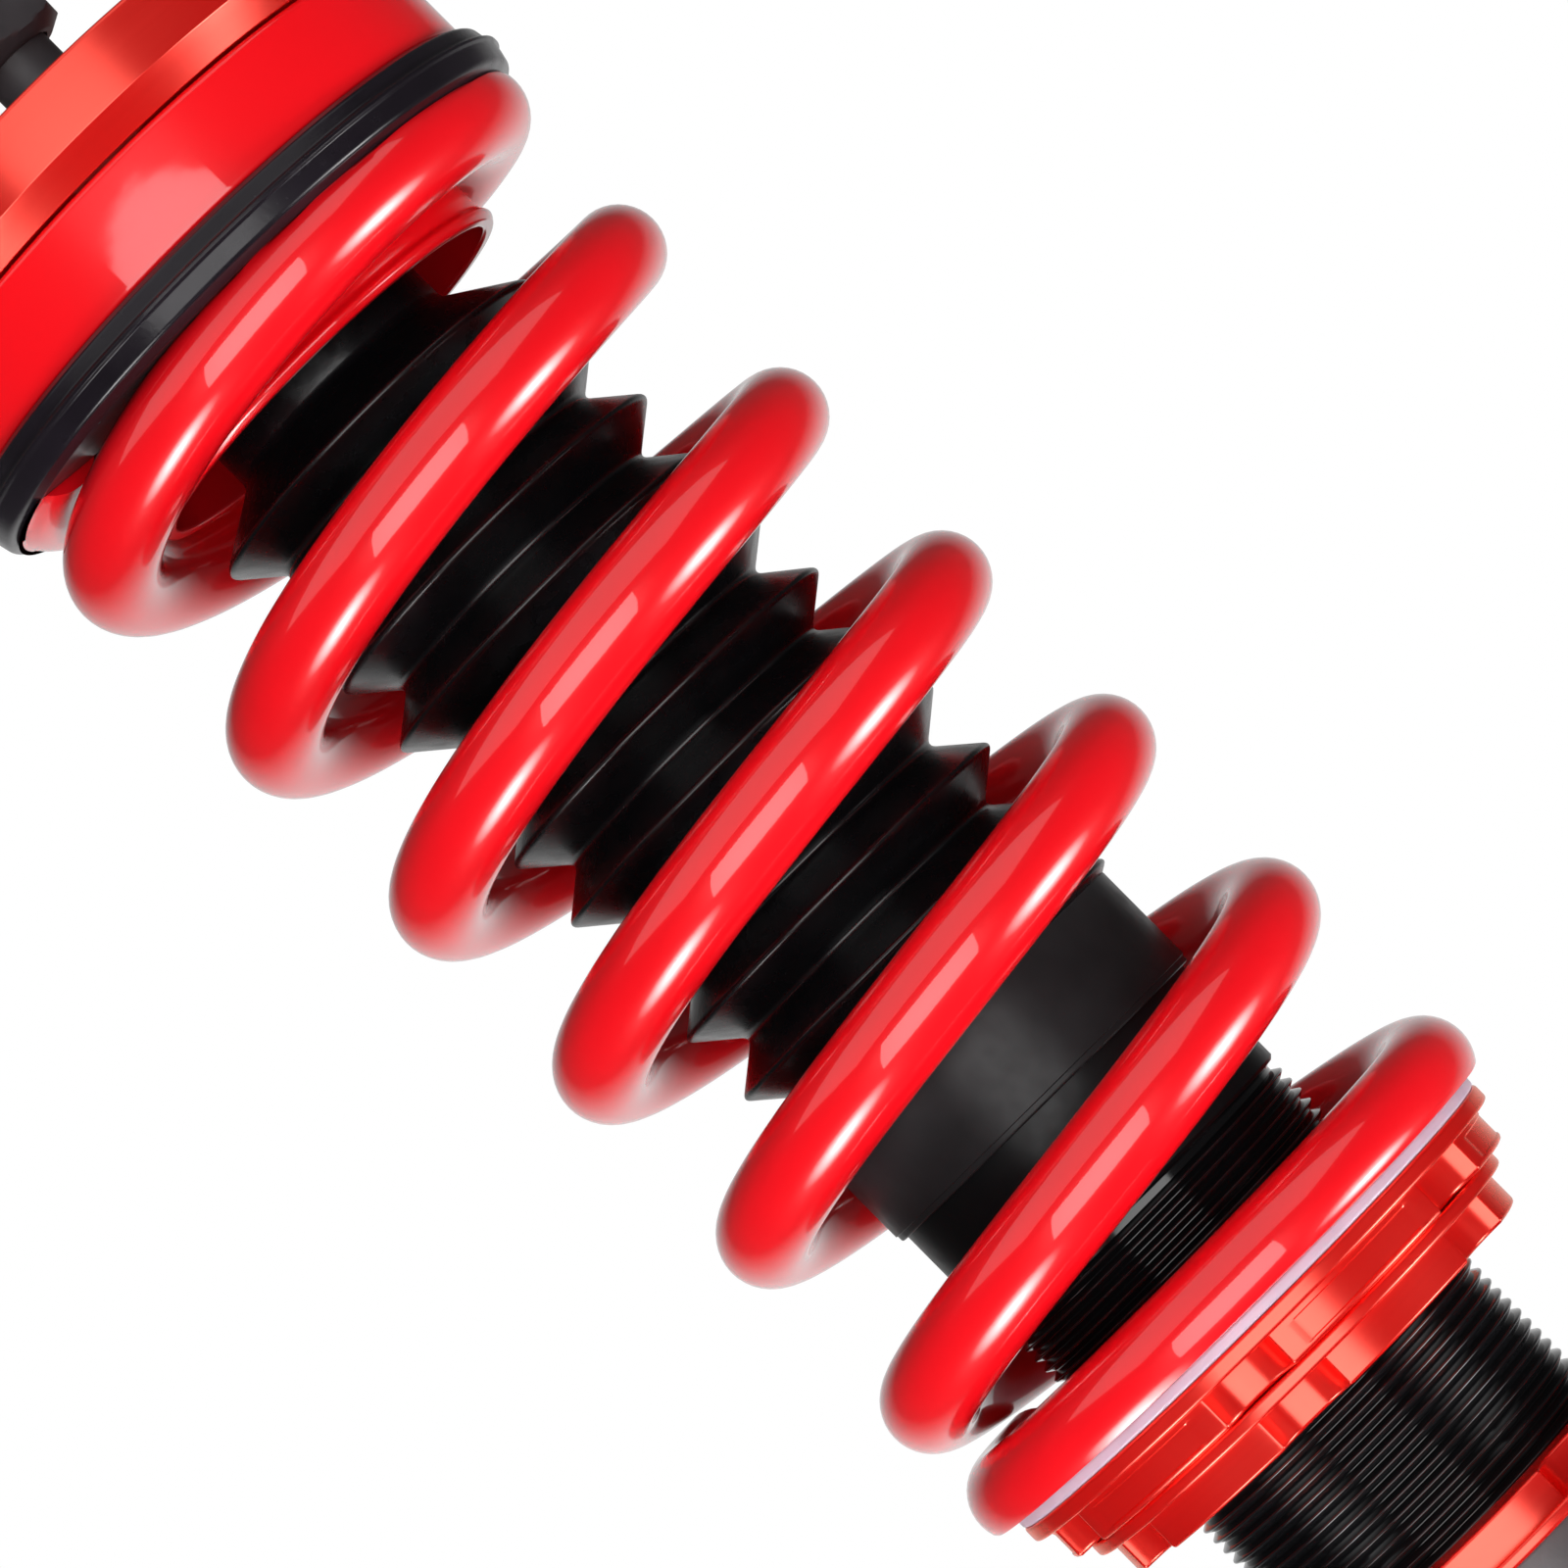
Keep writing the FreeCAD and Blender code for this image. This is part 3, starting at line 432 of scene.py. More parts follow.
def even_shading(piece):
    """Lets each large face set the shading at its corners, so that small rounded edges don't puff it up."""
    weigh = piece.modifiers.new("weigh", "WEIGHTED_NORMAL")
    weigh.keep_sharp = True
    apply_modifiers(piece)


def new_piece(name, part, slot, body, *nodes, sharp=SHARP):
    """A piece in its finish that moves with a body and stands for some of its CAD nodes."""
    piece = new_object(name, new_mesh(name, part, sharp))
    piece.data.materials.append(MATERIALS[slot])
    even_shading(piece)
    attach(piece, body)
    if nodes:
        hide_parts(*nodes)
    return piece


def wobble(points, amount, scale):
    """Points pushed in and out from the axis by smooth noise, as a moulding is never quite round."""
    pushed = []
    for point in points:
        outward = Vector((point.x, point.y, 0)).normalized()
        pushed.append(point + outward * amount * noise.noise(point * scale))
    return pushed


def thread_rows(crest, depth, pitch, base, top, count):
    """Rows of points that climb round a thread. It fades in and out over an eighth of a turn."""
    fade = 8
    per_turn = len(THREAD_SHAPE)
    all_turns = (top - base) / pitch
    rows = []
    for row in range(int(all_turns - 1) * per_turn + 1):
        step, share = THREAD_SHAPE[row % per_turn]
        points = []
        for index in range(count):
            turns = row // per_turn + step + index / count
            ends = min(turns, all_turns - turns)
            radius = crest - depth + depth * share * min(1, max(0, fade * ends))
            points.append(polar(radius, math.tau * index / count, base + turns * pitch))
        rows.append(points)
    return rows


def thread_faces(start, last, count):
    """Faces between a thread's rows. Where a row has gone once round, it meets the row one turn above."""
    per_turn = len(THREAD_SHAPE)
    faces = []
    for row in range(last):
        for index in range(count - 1):
            corner = start + row * count + index
            faces.append((corner, corner + 1, corner + count + 1, corner + count))
        if row + per_turn < last:
            edge = start + row * count + count - 1
            wrap = start + (row + per_turn) * count
            faces.append((edge, wrap, wrap + count, edge + count))
    return faces


def thread_ends(start, last, count):
    """Faces from a thread's first row to the ring under it, and from its last row to the ring over it."""
    per_turn = len(THREAD_SHAPE)
    under, over = start - count, start + (last + 1) * count
    top_row = start + last * count
    faces = []
    for index in range(count - 1):
        faces.append((under + index, under + index + 1, start + index + 1, start + index))
        faces.append((top_row + index, top_row + index + 1, over + index + 1, over + index))
    seam_below = [start + row * count for row in range(per_turn + 1)]
    faces.append([under + count - 1, under] + seam_below + [start + count - 1])
    seam_above = [start + row * count + count - 1 for row in range(last - per_turn, last + 1)]
    faces.append([over, top_row] + seam_above + [over + count - 1])
    return faces


def threaded(lower, upper, crest, depth, pitch, base, top, count=ROUND):
    """A turned solid with a true helical thread between two outlines of (radius, height).

    The lower outline ends just under the thread and the upper one starts just over it. A solid with a bore
    closes round it, from the upper outline's end to the lower one's start.
    """
    lower_part = turned(lower, count, closed=False)
    start = len(lower_part[0])
    rows = thread_rows(crest, depth, pitch, base, top, count)
    last = len(rows) - 1
    thread = [point for row in rows for point in row], []
    points, faces = joined([lower_part, thread, turned(upper, count, closed=False)])
    faces += thread_faces(start, last, count) + thread_ends(start, last, count)
    if lower[0][0] > 0:
        end = len(points) - count
        for index in range(count):
            following = (index + 1) % count
            faces.append((end + index, end + following, following, index))
    return points, faces


def notched_outline(radius, turn):
    """A ring's rim with round-flanked spanner notches, as points of the X-Y plane."""
    half = NOTCH_WIDE / 2
    floor = radius - NOTCH_DEEP
    mouth = math.sqrt(radius ** 2 - half ** 2)
    flank = half - NOTCH_FLOOR / 2
    sweep_in = 2 * math.atan((mouth - floor) / flank)
    cutter = flank / math.sin(sweep_in)
    curve_steps = 9
    tooth_steps = 40
    side = []
    for step in range(curve_steps + 1):
        angle = sweep_in * step / curve_steps
        side.append((NOTCH_FLOOR / 2 + cutter * math.sin(angle), floor + cutter * (1 - math.cos(angle))))
    profile = [(-across, out) for across, out in reversed(side)] + side
    corners = []
    for notch in range(NOTCH_COUNT):
        middle = turn + math.tau * notch / NOTCH_COUNT
        outward = Vector((math.cos(middle), math.sin(middle)))
        aside = Vector((-outward.y, outward.x))
        for across, out in profile:
            corner = outward * out + aside * across
            corners.append((corner.x, corner.y, EDGE if out == profile[0][1] else 0))
        begin = middle + math.asin(half / radius)
        sweep = math.tau / NOTCH_COUNT - 2 * math.asin(half / radius)
        for step in range(1, tooth_steps):
            angle = begin + sweep * step / tooth_steps
            corners.append((radius * math.cos(angle), radius * math.sin(angle), 0))
    return rounded(corners, 0, 3)


def inset(outline, distance):
    """An outline moved inwards by a small distance."""
    moved_in = []
    for index, point in enumerate(outline):
        along = outline[(index + 1) % len(outline)] - outline[index - 1]
        moved_in.append(point - Vector((along.y, -along.x)).normalized() * distance)
    return moved_in


def stood(outline, height):
    return [Vector((point.x, point.y, height)) for point in outline]


def sunk(outline, turn):
    """An outline with the middle of each tooth cut a little lower, for the panel that marks are put on."""
    margin = math.radians(13)
    points = []
    for point in outline:
        past_notch = (math.atan2(point.y, point.x) - turn) % (math.tau / NOTCH_COUNT)
        on_panel = margin < past_notch < math.tau / NOTCH_COUNT - margin
        points.append(point - point.normalized() * (PANEL_DEEP if on_panel else 0))
    return points


def notched_ring(round_corners, rim, notch_top, notch_base, turn, panels=False):
    """A spanner ring: turned corners from the bore to the root of the notches, then the notched rim."""
    outline = notched_outline(rim, turn)
    angles = [math.atan2(point.y, point.x) for point in outline]
    down = 1 if notch_top > notch_base else -1
    rows = [[polar(radius, angle, height) for angle in angles] for radius, height in round_corners]
    rows.append(stood(outline, notch_top))
    if panels:
        panel = sunk(outline, turn)
        rows.append(stood(outline, notch_top - PANEL_EDGE))
        rows.append(stood(panel, notch_top - PANEL_EDGE - PANEL_DEEP))
        rows.append(stood(panel, notch_base + PANEL_EDGE + PANEL_DEEP))
        rows.append(stood(outline, notch_base + PANEL_EDGE))
    rows.append(stood(outline, notch_base + down * EDGE))
    rows.append(stood(inset(outline, EDGE / 3), notch_base + down * EDGE / 3))
    rows.append(stood(inset(outline, EDGE), notch_base))
    rows.append([polar(RING_BORE_R, angle, notch_base) for angle in angles])
    return loft(rows)


def hexagonal(flats, rows):
    """A hexagon nut or cap whose rows are (height, largest radius): a cone trims its corners."""
    half_side = math.pi / 6
    lofted = []
    for height, limit in rows:
        row = []
        for index in range(SMALL_ROUND):
            turn = math.tau * index / SMALL_ROUND
            past_middle = (turn + half_side) % (2 * half_side) - half_side
            row.append(polar(min(flats / 2 / math.cos(past_middle), limit), turn, height))
        lofted.append(row)
    return loft(lofted)


def prism(outline, start, end, lay):
    """A closed solid between two depths of an outline, laid in space by a function."""
    rows = [[Vector(lay(point[0], point[1], depth)) for point in outline] for depth in (start, end)]
    points, faces = loft(rows, closed=False)
    count = len(outline)
    faces.append(tuple(range(count)))
    faces.append(tuple(range(count, 2 * count)))
    return points, faces


def flat_piece(name, part, cutters, bevel, node):
    """A piece of the welded bracket: a solid with holes cut through it and its edges broken."""
    piece = new_piece(name, part, "bracket_grey", "lower_bracket", node)
    helpers = []
    for cutter in cutters:
        helper = new_object(name + "_cutter", new_mesh(name + "_cutter", cutter))
        helpers.append(helper)
        cut = piece.modifiers.new("cut", "BOOLEAN")
        cut.operation = "DIFFERENCE"
        cut.solver = "EXACT"
        cut.object = helper
    soften = piece.modifiers.new("soften", "BEVEL")
    soften.width = bevel
    soften.segments = 3
    soften.limit_method = "ANGLE"
    soften.angle_limit = math.radians(40)
    apply_modifiers(piece)
    tidy(piece.data)
    even_shading(piece)
    for helper in helpers:
        bpy.data.objects.remove(helper)
    return piece


def swept(path, radius_at):
    """A tube along a list of points, with a radius for each place along it."""
    count = 12
    steep = 0.9
    rows = []
    for index, point in enumerate(path):
        ahead = (path[min(index + 1, len(path) - 1)] - path[max(index - 1, 0)]).normalized()
        aside = ahead.orthogonal() if abs(ahead.z) > steep else ahead.cross(Vector((0, 0, 1)))
        aside.normalize()
        above = aside.cross(ahead)
        radius = radius_at(index)
        rows.append([point + (aside * math.cos(math.tau * step / count)
                              + above * math.sin(math.tau * step / count)) * radius for step in range(count)])
    points, faces = loft(rows, closed=False)
    faces.append(tuple(range(count)))
    faces.append(tuple(range(len(points) - count, len(points))))
    return points, faces


# -------- top mount


def make_top_plate():
    reach = radius_of("top_plate")
    base = low_of("top_plate")
    top = high_of("top_plate")
    race_r = radius_of("bearing_race")
    race_base = low_of("bearing_race")
    race_top = high_of("bearing_race")
    groove_r = radius_of("snap_ring")
    groove_top = high_of("snap_ring")
    lip_r = race_r - 0.0016
    rim = 0.0042
    part = turned(rounded([
        (race_r, top), (reach, top, 0.0007), (reach, base + rim, 0.0003), (reach - rim, base, 0.0003),
        (lip_r, base), (lip_r, race_base, 0), (race_r, race_base, 0), (race_r, race_top, 0),
        (groove_r, race_top, 0), (groove_r, groove_top, 0), (race_r, groove_top, 0)]))
    new_piece("top_plate_anodised", part, "anodised_red", "top_mount", "top_plate")


def make_studs():
    low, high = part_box("mounting_studs")
    circle_r, first = 0.040, math.radians(90)
    radius = 0.005
    head_r, head_top = 0.007, low.z + 0.003
    shoulder_r, shoulder_top = 0.0054, 0.0002
    pitch = 0.0015
    depth = 0.0009
    root = radius - depth
    thread_base = 0.002
    thread_top = high.z - 0.0018
    point_r = root - 0.0006
    lower = [(0, low.z), (head_r, low.z), (head_r, head_top), (shoulder_r, head_top),
             (shoulder_r, shoulder_top), (root, shoulder_top + 0.001)]
    upper = [(root, thread_top), (point_r, high.z), (0, high.z)]
    stud = threaded(lower, upper, radius, depth, pitch, thread_base, thread_top, SMALL_ROUND)
    studs = []
    for index in range(STUD_COUNT):
        studs.append(moved(stud, polar(circle_r, first + math.tau * index / STUD_COUNT)))
    new_piece("mounting_studs_threaded", joined(studs), "zinc_steel", "top_mount", "mounting_studs")


# -------- rod, nut and knob


def make_rod():
    low, high = low_of("piston_rod"), high_of("piston_rod")
    rod_r = radius_of("piston_rod")
    shoulder = high_of("bump_stop_washer")
    tail_top = high_of("rebound_shims")
    tail_r = 0.006
    part = turned(rounded([
        (0, high, 0), (PIN_R, high, 0.0008), (PIN_R, shoulder, 0), (rod_r, shoulder), (rod_r, tail_top),
        (tail_r, tail_top, 0), (tail_r, low), (0, low, 0)]), SMALL_ROUND)
    rod = new_piece("piston_rod_turned", part, "chrome_rod", "strut_rod", "piston_rod")
    rod.data.materials.append(MATERIALS["black_steel"])
    for face in rod.data.polygons:
        if face.center.z > shoulder + EDGE:
            face.material_index = 1


def finer(rows):
    """Extra rows between each pair, so that a trimming cone leaves curved edges on a hexagon."""
    fine = []
    steps = 5
    for (height, limit), (next_height, next_limit) in zip(rows, rows[1:]):
        for step in range(steps):
            part = step / steps
            fine.append((height + (next_height - height) * part, limit + (next_limit - limit) * part))
    return fine + [rows[-1]]


def make_nut():
    low, high = low_of("rod_nut"), high_of("rod_nut")
    flats = 2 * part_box("rod_nut")[1].y
    corner = flats / math.sqrt(3)
    trim = 0.0012
    rows = [(low, PIN_R), (low, flats / 2 - EDGE), (low + trim, corner), (high - trim, corner),
            (high, flats / 2 - EDGE), (high, PIN_R)]
    new_piece("rod_nut_hexagon", hexagonal(flats, finer(rows)), "zinc_steel", "strut_rod", "rod_nut")


def make_knob():
    """A hexagon cap with a dished top, hollow below for the rod's pin, on the needle's thin stem."""
    stem, high = low_of("adjuster_knob"), high_of("adjuster_knob")
    low = 0.0136
    flats = 0.0185
    corner = flats / math.sqrt(3)
    trim = 0.0020
    stem_r = 0.002
    hollow_r, hollow_top = PIN_R + 0.0004, low + 0.0026
    dish = 0.0008
    rows = [(stem, 0), (stem, stem_r), (hollow_top, stem_r), (hollow_top, hollow_r), (low, hollow_r),
            (low, flats / 2 - trim), (low + trim, corner), (high - trim, corner),
            (high, flats / 2 - trim / 2), (high, flats / 2 - trim), (high - dish, flats / 2 - 2 * trim),
            (high - dish, 0)]
    part = hexagonal(flats, finer(rows))
    new_piece("adjuster_knob_cap", part, "black_steel", "adjuster_knob", "adjuster_knob")


# -------- upper spring seat and isolator


def make_upper_spring_seat():
    """The painted perch, with the cup inside it that the bump stop sits in."""
    reach = radius_of("upper_spring_seat")
    top = high_of("upper_spring_seat")
    rim_base = high_of("rubber_isolator")
    cup_base = low_of("upper_spring_seat")
    roof = high_of("bump_stop_washer")
    pocket_floor = low_of("thrust_race_lower")
    pocket_r = radius_of("thrust_race_lower") + 0.0006
    bore = radius_of("piston_rod") + 0.0003
    cup_r = 0.0325
    cup_in_r = 0.0306
    lip = 0.0009
    lip_high = 0.0024
    part = turned(rounded([
        (bore, pocket_floor), (pocket_r, pocket_floor, 0), (pocket_r, top), (reach, top, 0.0012),
        (reach, rim_base, 0.0010), (cup_r, rim_base, 0.0004), (cup_r, cup_base + lip_high, 0.0010),
        (cup_r + lip, cup_base + lip_high / 2, 0.0010), (cup_r, cup_base, 0.0006),
        (cup_in_r, cup_base, 0.0006), (cup_in_r, roof, 0.001), (bore, roof)], steps=5))
    new_piece("spring_seat_painted", part, "gloss_red", "strut_rod", "upper_spring_seat")


def make_isolator():
    """Rubber ring with a hollow shoulder above, a mould line round its middle and a fat lip below."""
    reach = radius_of("rubber_isolator")
    top = high_of("rubber_isolator")
    base = low_of("rubber_isolator")
    high = top - base
    inner = 0.0332
    line = 0.00022
    middle = top - 0.46 * high
    beside_line = 0.0006
    part = turned(rounded([
        (inner, top, 0), (reach - 0.0026, top, 0.0003), (reach - 0.0012, top - 0.10 * high, 0.0010),
        (reach - 0.0008, middle + beside_line, 0.0010), (reach, middle + line, 0.0001),
        (reach, middle - line, 0.0001), (reach - 0.0004, middle - beside_line, 0.0003),
        (reach - 0.0011, base + 0.0010, 0.0012), (reach - 0.0034, base, 0.0008), (inner, base, 0)], steps=5))
    shaped = (wobble(part[0], amount=0.00016, scale=90), part[1])
    new_piece("isolator_moulded", shaped, "isolator_rubber", "strut_rod", "rubber_isolator",
              sharp=math.radians(60))


# -------- spring


def squash_with_stroke(piece):
    """Gives a piece its own copy of its mesh; the piece is not squeezed."""
    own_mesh(piece)


def knee(distance, width):
    """Zero before a knee and the distance past it, with a rounded corner of the given half width."""
    if distance < -width:
        return 0.0
    if distance > width:
        return distance
    return (distance + width) ** 2 / (4 * width)


def wire_height(angle):
    """Height of the wire's centre over the spring's foot at an angle in degrees, with both ends closed."""
    lower_pitch, active_pitch, upper_pitch = 0.003, 0.03295, 0.011
    lower_knee, upper_knee, knee_width = 10, 2076, 45
    knee_height = 0.0042
    height = knee_height + lower_pitch * (angle - lower_knee) / 360
    height += (active_pitch - lower_pitch) * knee(angle - lower_knee, knee_width) / 360
    return height - (active_pitch - upper_pitch) * knee(angle - upper_knee, knee_width) / 360


def make_spring():
    """One long wire, coiled right-handed, with both ends ground flat."""
    low, high = low_of("coil_spring"), high_of("coil_spring")
    coil_r = radius_of("coil_spring") - WIRE_R
    start, finish, step = -212, 2372, 2
    around_wire = 40
    rows = []
    for index in range((finish - start) // step + 1):
        angle = start + step * index
        turn = math.radians(angle)
        outward = polar(1, turn)
        centre = outward * coil_r
        centre.z = low + wire_height(angle)
        rise = (wire_height(angle + 1) - wire_height(angle - 1)) / math.radians(2)
        ahead = Vector((-math.sin(turn) * coil_r, math.cos(turn) * coil_r, rise)).normalized()
        above = outward.cross(ahead)
        row = []
        for part in range(around_wire):
            side = math.tau * part / around_wire
            point = centre + (outward * math.cos(side) + above * math.sin(side)) * WIRE_R
            point.z = min(max(point.z, low), high)
            row.append(point)
        rows.append(row)
    points, faces = loft(rows, closed=False)
    faces.append(tuple(range(around_wire)))
    faces.append(tuple(range(len(points) - around_wire, len(points))))
    spring = new_piece("coil_spring_wire", (points, faces), "spring_red", "spring_platform", "coil_spring")
    squash_with_stroke(spring)


# -------- boot and damper body


def make_dust_boot():
    """Moulded bellows with narrow ridges and softer valleys, under a cylindrical neck."""
    base, top = low_of("dust_boot"), high_of("dust_boot")
    foot_r = radius_of("boot_cuff")
    peak_r = radius_of("dust_boot")
    valley_r, neck_r, flange_r = 0.0235, 0.0196, 0.025
    pitch, folds = 0.011657, 10
    first_peak = base + 0.00115
    neck_base = -0.0538
    wall = 0.0014
    slant_wall = 1.4 * wall
    outer = [(foot_r, base, 0)]
    inner = [(foot_r - wall, base, 0)]
    for fold in range(folds + 1):
        peak = first_peak + pitch * fold
        outer.append((peak_r, peak, 0.0009))
        inner.append((peak_r - slant_wall, peak, 0))
        if fold < folds:
            outer.append((valley_r, peak + pitch / 2, 0.0011))
            inner.append((valley_r - slant_wall, peak + pitch / 2, 0))
    outer += [(neck_r, neck_base, 0.002), (neck_r, top - wall, 0.0006), (flange_r, top - wall),
              (flange_r, top)]
    inner += [(neck_r - wall, neck_base, 0), (neck_r - wall, top, 0)]
    part = turned(rounded(outer + inner[::-1], steps=5))
    shaped = (wobble(part[0], amount=0.0004, scale=55), part[1])
    boot = new_piece("dust_boot_bellows", shaped, "boot_rubber", "damper_body", "dust_boot",
                     sharp=math.radians(75))
    squash_with_stroke(boot)


def make_cuff():
    """Plastic cuff that holds the boot on the damper, with a shallow step at its foot."""
    top, base = high_of("boot_cuff"), low_of("boot_cuff")
    reach = radius_of("boot_cuff")
    inner = radius_of("damper_tube") + 0.00005
    step_r, step_z = reach - 0.00025, base + 0.0011
    part = turned(rounded([
        (inner, top, 0), (reach, top, 0), (reach, step_z, 0.0004), (step_r, step_z, 0.0001),
        (step_r, base, 0.0006), (inner, base, 0.0002)]))
    new_piece("boot_cuff_moulded", part, "cuff_plastic", "damper_body", "boot_cuff")


def make_damper_tube():
    """The damper's outer tube with its long adjusting thread."""
    top, base = high_of("damper_tube"), low_of("damper_tube")
    reach = radius_of("damper_tube")
    fillet = 0.0004
    crest = reach - 0.0004
    bore = radius_of("gland_nut")
    relief_top = low_of("boot_cuff") - 0.0183
    relief = 0.0006
    thread_top = relief_top - relief
    root = crest - THREAD_DEPTH
    lower = [(bore, base), (root, base)]
    upper = [(root, thread_top), (root, relief_top - fillet), (root + fillet, relief_top),
             (reach - EDGE, relief_top), (reach, relief_top + EDGE), (reach, top - EDGE), (reach - EDGE, top),
             (bore, top)]
    part = threaded(lower, upper, crest, THREAD_DEPTH, THREAD_PITCH, base + EDGE, thread_top)
    tube = new_piece("damper_tube_threaded", part, "black_coat", "damper_body", "damper_tube",
                     sharp=math.radians(40))
    tube.data.materials.append(WORN_THREAD)
    for face in tube.data.polygons:
        if face.center.z < thread_top + THREAD_PITCH / 4:
            face.material_index = 1


# -------- spring seat rings


def make_slip_washer():
    top, base = high_of("slip_washer"), low_of("slip_washer")
    reach, inner = radius_of("slip_washer"), 0.0344
    part = turned(rounded([(inner, top), (reach, top, 0.0006), (reach, base, 0.0006), (inner, base)]))
    new_piece("slip_washer_nylon", part, "nylon", "spring_platform", "slip_washer")


def mill_notches(ring, rim, low, high):
    """Gives the walls of a ring's notches the marks of the cutter."""
    ring.data.materials.append(MILLED)
    for face in ring.data.polygons:
        out = Vector(face.center[:2]).length
        if RING_BORE_R + NOTCH_DEEP < out < rim - 2 * EDGE / 3 and low + TINY < face.center.z < high - TINY:
            face.material_index = 1


def make_seat_ring():
    top, base = high_of("spring_seat_ring"), low_of("spring_seat_ring")
    flange_r = radius_of("spring_seat_ring")
    shelf = low_of("slip_washer")
    hub_r, rim_r, flange_high = 0.0342, 0.0425, 0.0026
    corners = rounded([
        (RING_BORE_R, base, 0), (RING_BORE_R, top), (hub_r, top), (hub_r, shelf, 0.0003),
        (flange_r, shelf, 0.0006), (flange_r, shelf - flange_high, 0.0006),
        (rim_r - NOTCH_DEEP, shelf - flange_high, 0)])[1:-1]
    part = notched_ring(corners, rim_r, shelf - flange_high, base, FRONT + math.radians(-10), panels=True)
    ring = new_piece("spring_seat_ring_notched", part, "anodised_red", "seat_rings", "spring_seat_ring")
    mill_notches(ring, rim_r, base, shelf - flange_high)


def make_lock_ring(node, body, turn, flange_high, upright):
    """A spanner lock ring: a flange with a notched rim, over the flange if upright and else under it."""
    flange_face, far_face = (low_of(node), high_of(node)) if upright else (high_of(node), low_of(node))
    flange_r = radius_of(node)
    rim_r = flange_r - 0.0024
    step = flange_face + (flange_high if upright else -flange_high)
    corners = rounded([
        (RING_BORE_R, far_face, 0), (RING_BORE_R, flange_face), (flange_r, flange_face, 0.0006),
        (flange_r, step, 0.0006), (rim_r - NOTCH_DEEP, step, 0)])[1:-1]
    part = notched_ring(corners, rim_r, step, far_face, FRONT + math.radians(turn))
    ring = new_piece(node + "_notched", part, "anodised_red", body, node)
    mill_notches(ring, rim_r, min(step, far_face), max(step, far_face))


# -------- lower bracket


def make_sleeve():
    top, base = high_of("bracket_sleeve"), low_of("bracket_sleeve")
    reach = radius_of("bracket_sleeve")
    floor_top = base + 0.004
    drain_r = 0.004
    part = turned(rounded([
        (RING_BORE_R, top, 0.0006), (reach, top, 0.0010), (reach, base, 0.0010), (drain_r, base),
        (drain_r, floor_top), (RING_BORE_R, floor_top, 0.0015)]))
    new_piece("bracket_sleeve_tube", part, "bracket_grey", "lower_bracket", "bracket_sleeve")


def upright_cylinder(radius, low, high, count=SMALL_ROUND):
    return turned([(0, low), (radius, low), (radius, high), (0, high)], count, closed=False)


def cross_cylinder(radius, x, z, reach):
    """A cylinder along Y, for a bolt hole through both ears."""
    points, faces = upright_cylinder(radius, -reach, reach)
    return [Vector((x + point.x, point.z, z + point.y)) for point in points], faces


def make_clevis():
    """A pressed channel whose two ears take the wheel knuckle."""
    low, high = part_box("knuckle_clevis")
    reach = high.x
    half = high.y
    wall = 0.005
    gap = half - wall
    back, web = 0.024, 0.038
    bend = 0.006
    bore_r, bore_x = 0.0071, 0.056
    upper_bore, lower_bore = -0.324, -0.380
    cut_long, cut_high = 0.022, 0.020
    channel = rounded([
        (back, -half, 0), (reach, -half, 0), (reach, -gap, 0), (web, -gap, bend), (web, gap, bend),
        (reach, gap, 0), (reach, half, 0), (back, half, 0)], steps=6)
    part = prism(channel, low.z, high.z, lambda x, y, z: (x, y, z))
    corner = prism([(reach - cut_long, high.z + EDGE), (reach + EDGE, high.z + EDGE),
                    (reach + EDGE, high.z - cut_high)], -2 * half, 2 * half, lambda x, z, y: (x, y, z))
    sink = 0.001
    sleeve_cut = radius_of("bracket_sleeve") - sink
    cutters = [upright_cylinder(sleeve_cut, low.z - EDGE, high.z + EDGE, ROUND), corner]
    for height in (upper_bore, lower_bore):
        cutters.append(cross_cylinder(bore_r, bore_x, height, 2 * half))
    flat_piece("knuckle_clevis_pressed", part, cutters, 0.0009, "knuckle_clevis")


def make_tab(node, outward, bore_reach, bore_r):
    """A flat tab with rounded corners, drawn along an outward direction."""
    low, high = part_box(node)
    aside = Vector((-outward.y, outward.x))
    box_corners = (Vector(low[:2]), Vector(high[:2]))
    half = max(abs(corner.dot(aside)) for corner in box_corners)
    reach = max(corner.dot(outward) for corner in box_corners)
    corner_r = 0.0055
    root = 0.0285
    outline = rounded([
        (root, -half, 0), (reach, -half, corner_r), (reach, half, corner_r), (root, half, 0)], steps=8)

    def lay(out, across, height):
        place = outward * out + aside * across
        return place.x, place.y, height

    part = prism(outline, low.z, high.z, lay)
    hole = moved(upright_cylinder(bore_r, low.z - EDGE, high.z + EDGE), (outward * bore_reach).to_3d())
    flat_piece(node + "_flat", part, [hole], 0.0004, node)


def weld(name, path, radius):
    """A weld bead: a rippled tube that sits in the corner between two pieces."""
    ripple, ripple_high = 4, 0.10
    part = swept(path, lambda index: radius * (1 + ripple_high * abs(math.sin(math.pi * index / ripple))))
    new_piece(name, part, "bracket_grey", "lower_bracket", sharp=math.radians(80))


def arc_path(radius, height, middle, half):
    """Points round an arc of the strut's axis, from half before its middle angle to half past it."""
    spacing = 0.0004
    steps = max(8, int(2 * half * radius / spacing))
    return [polar(radius, middle - half + 2 * half * step / steps, height) for step in range(steps + 1)]


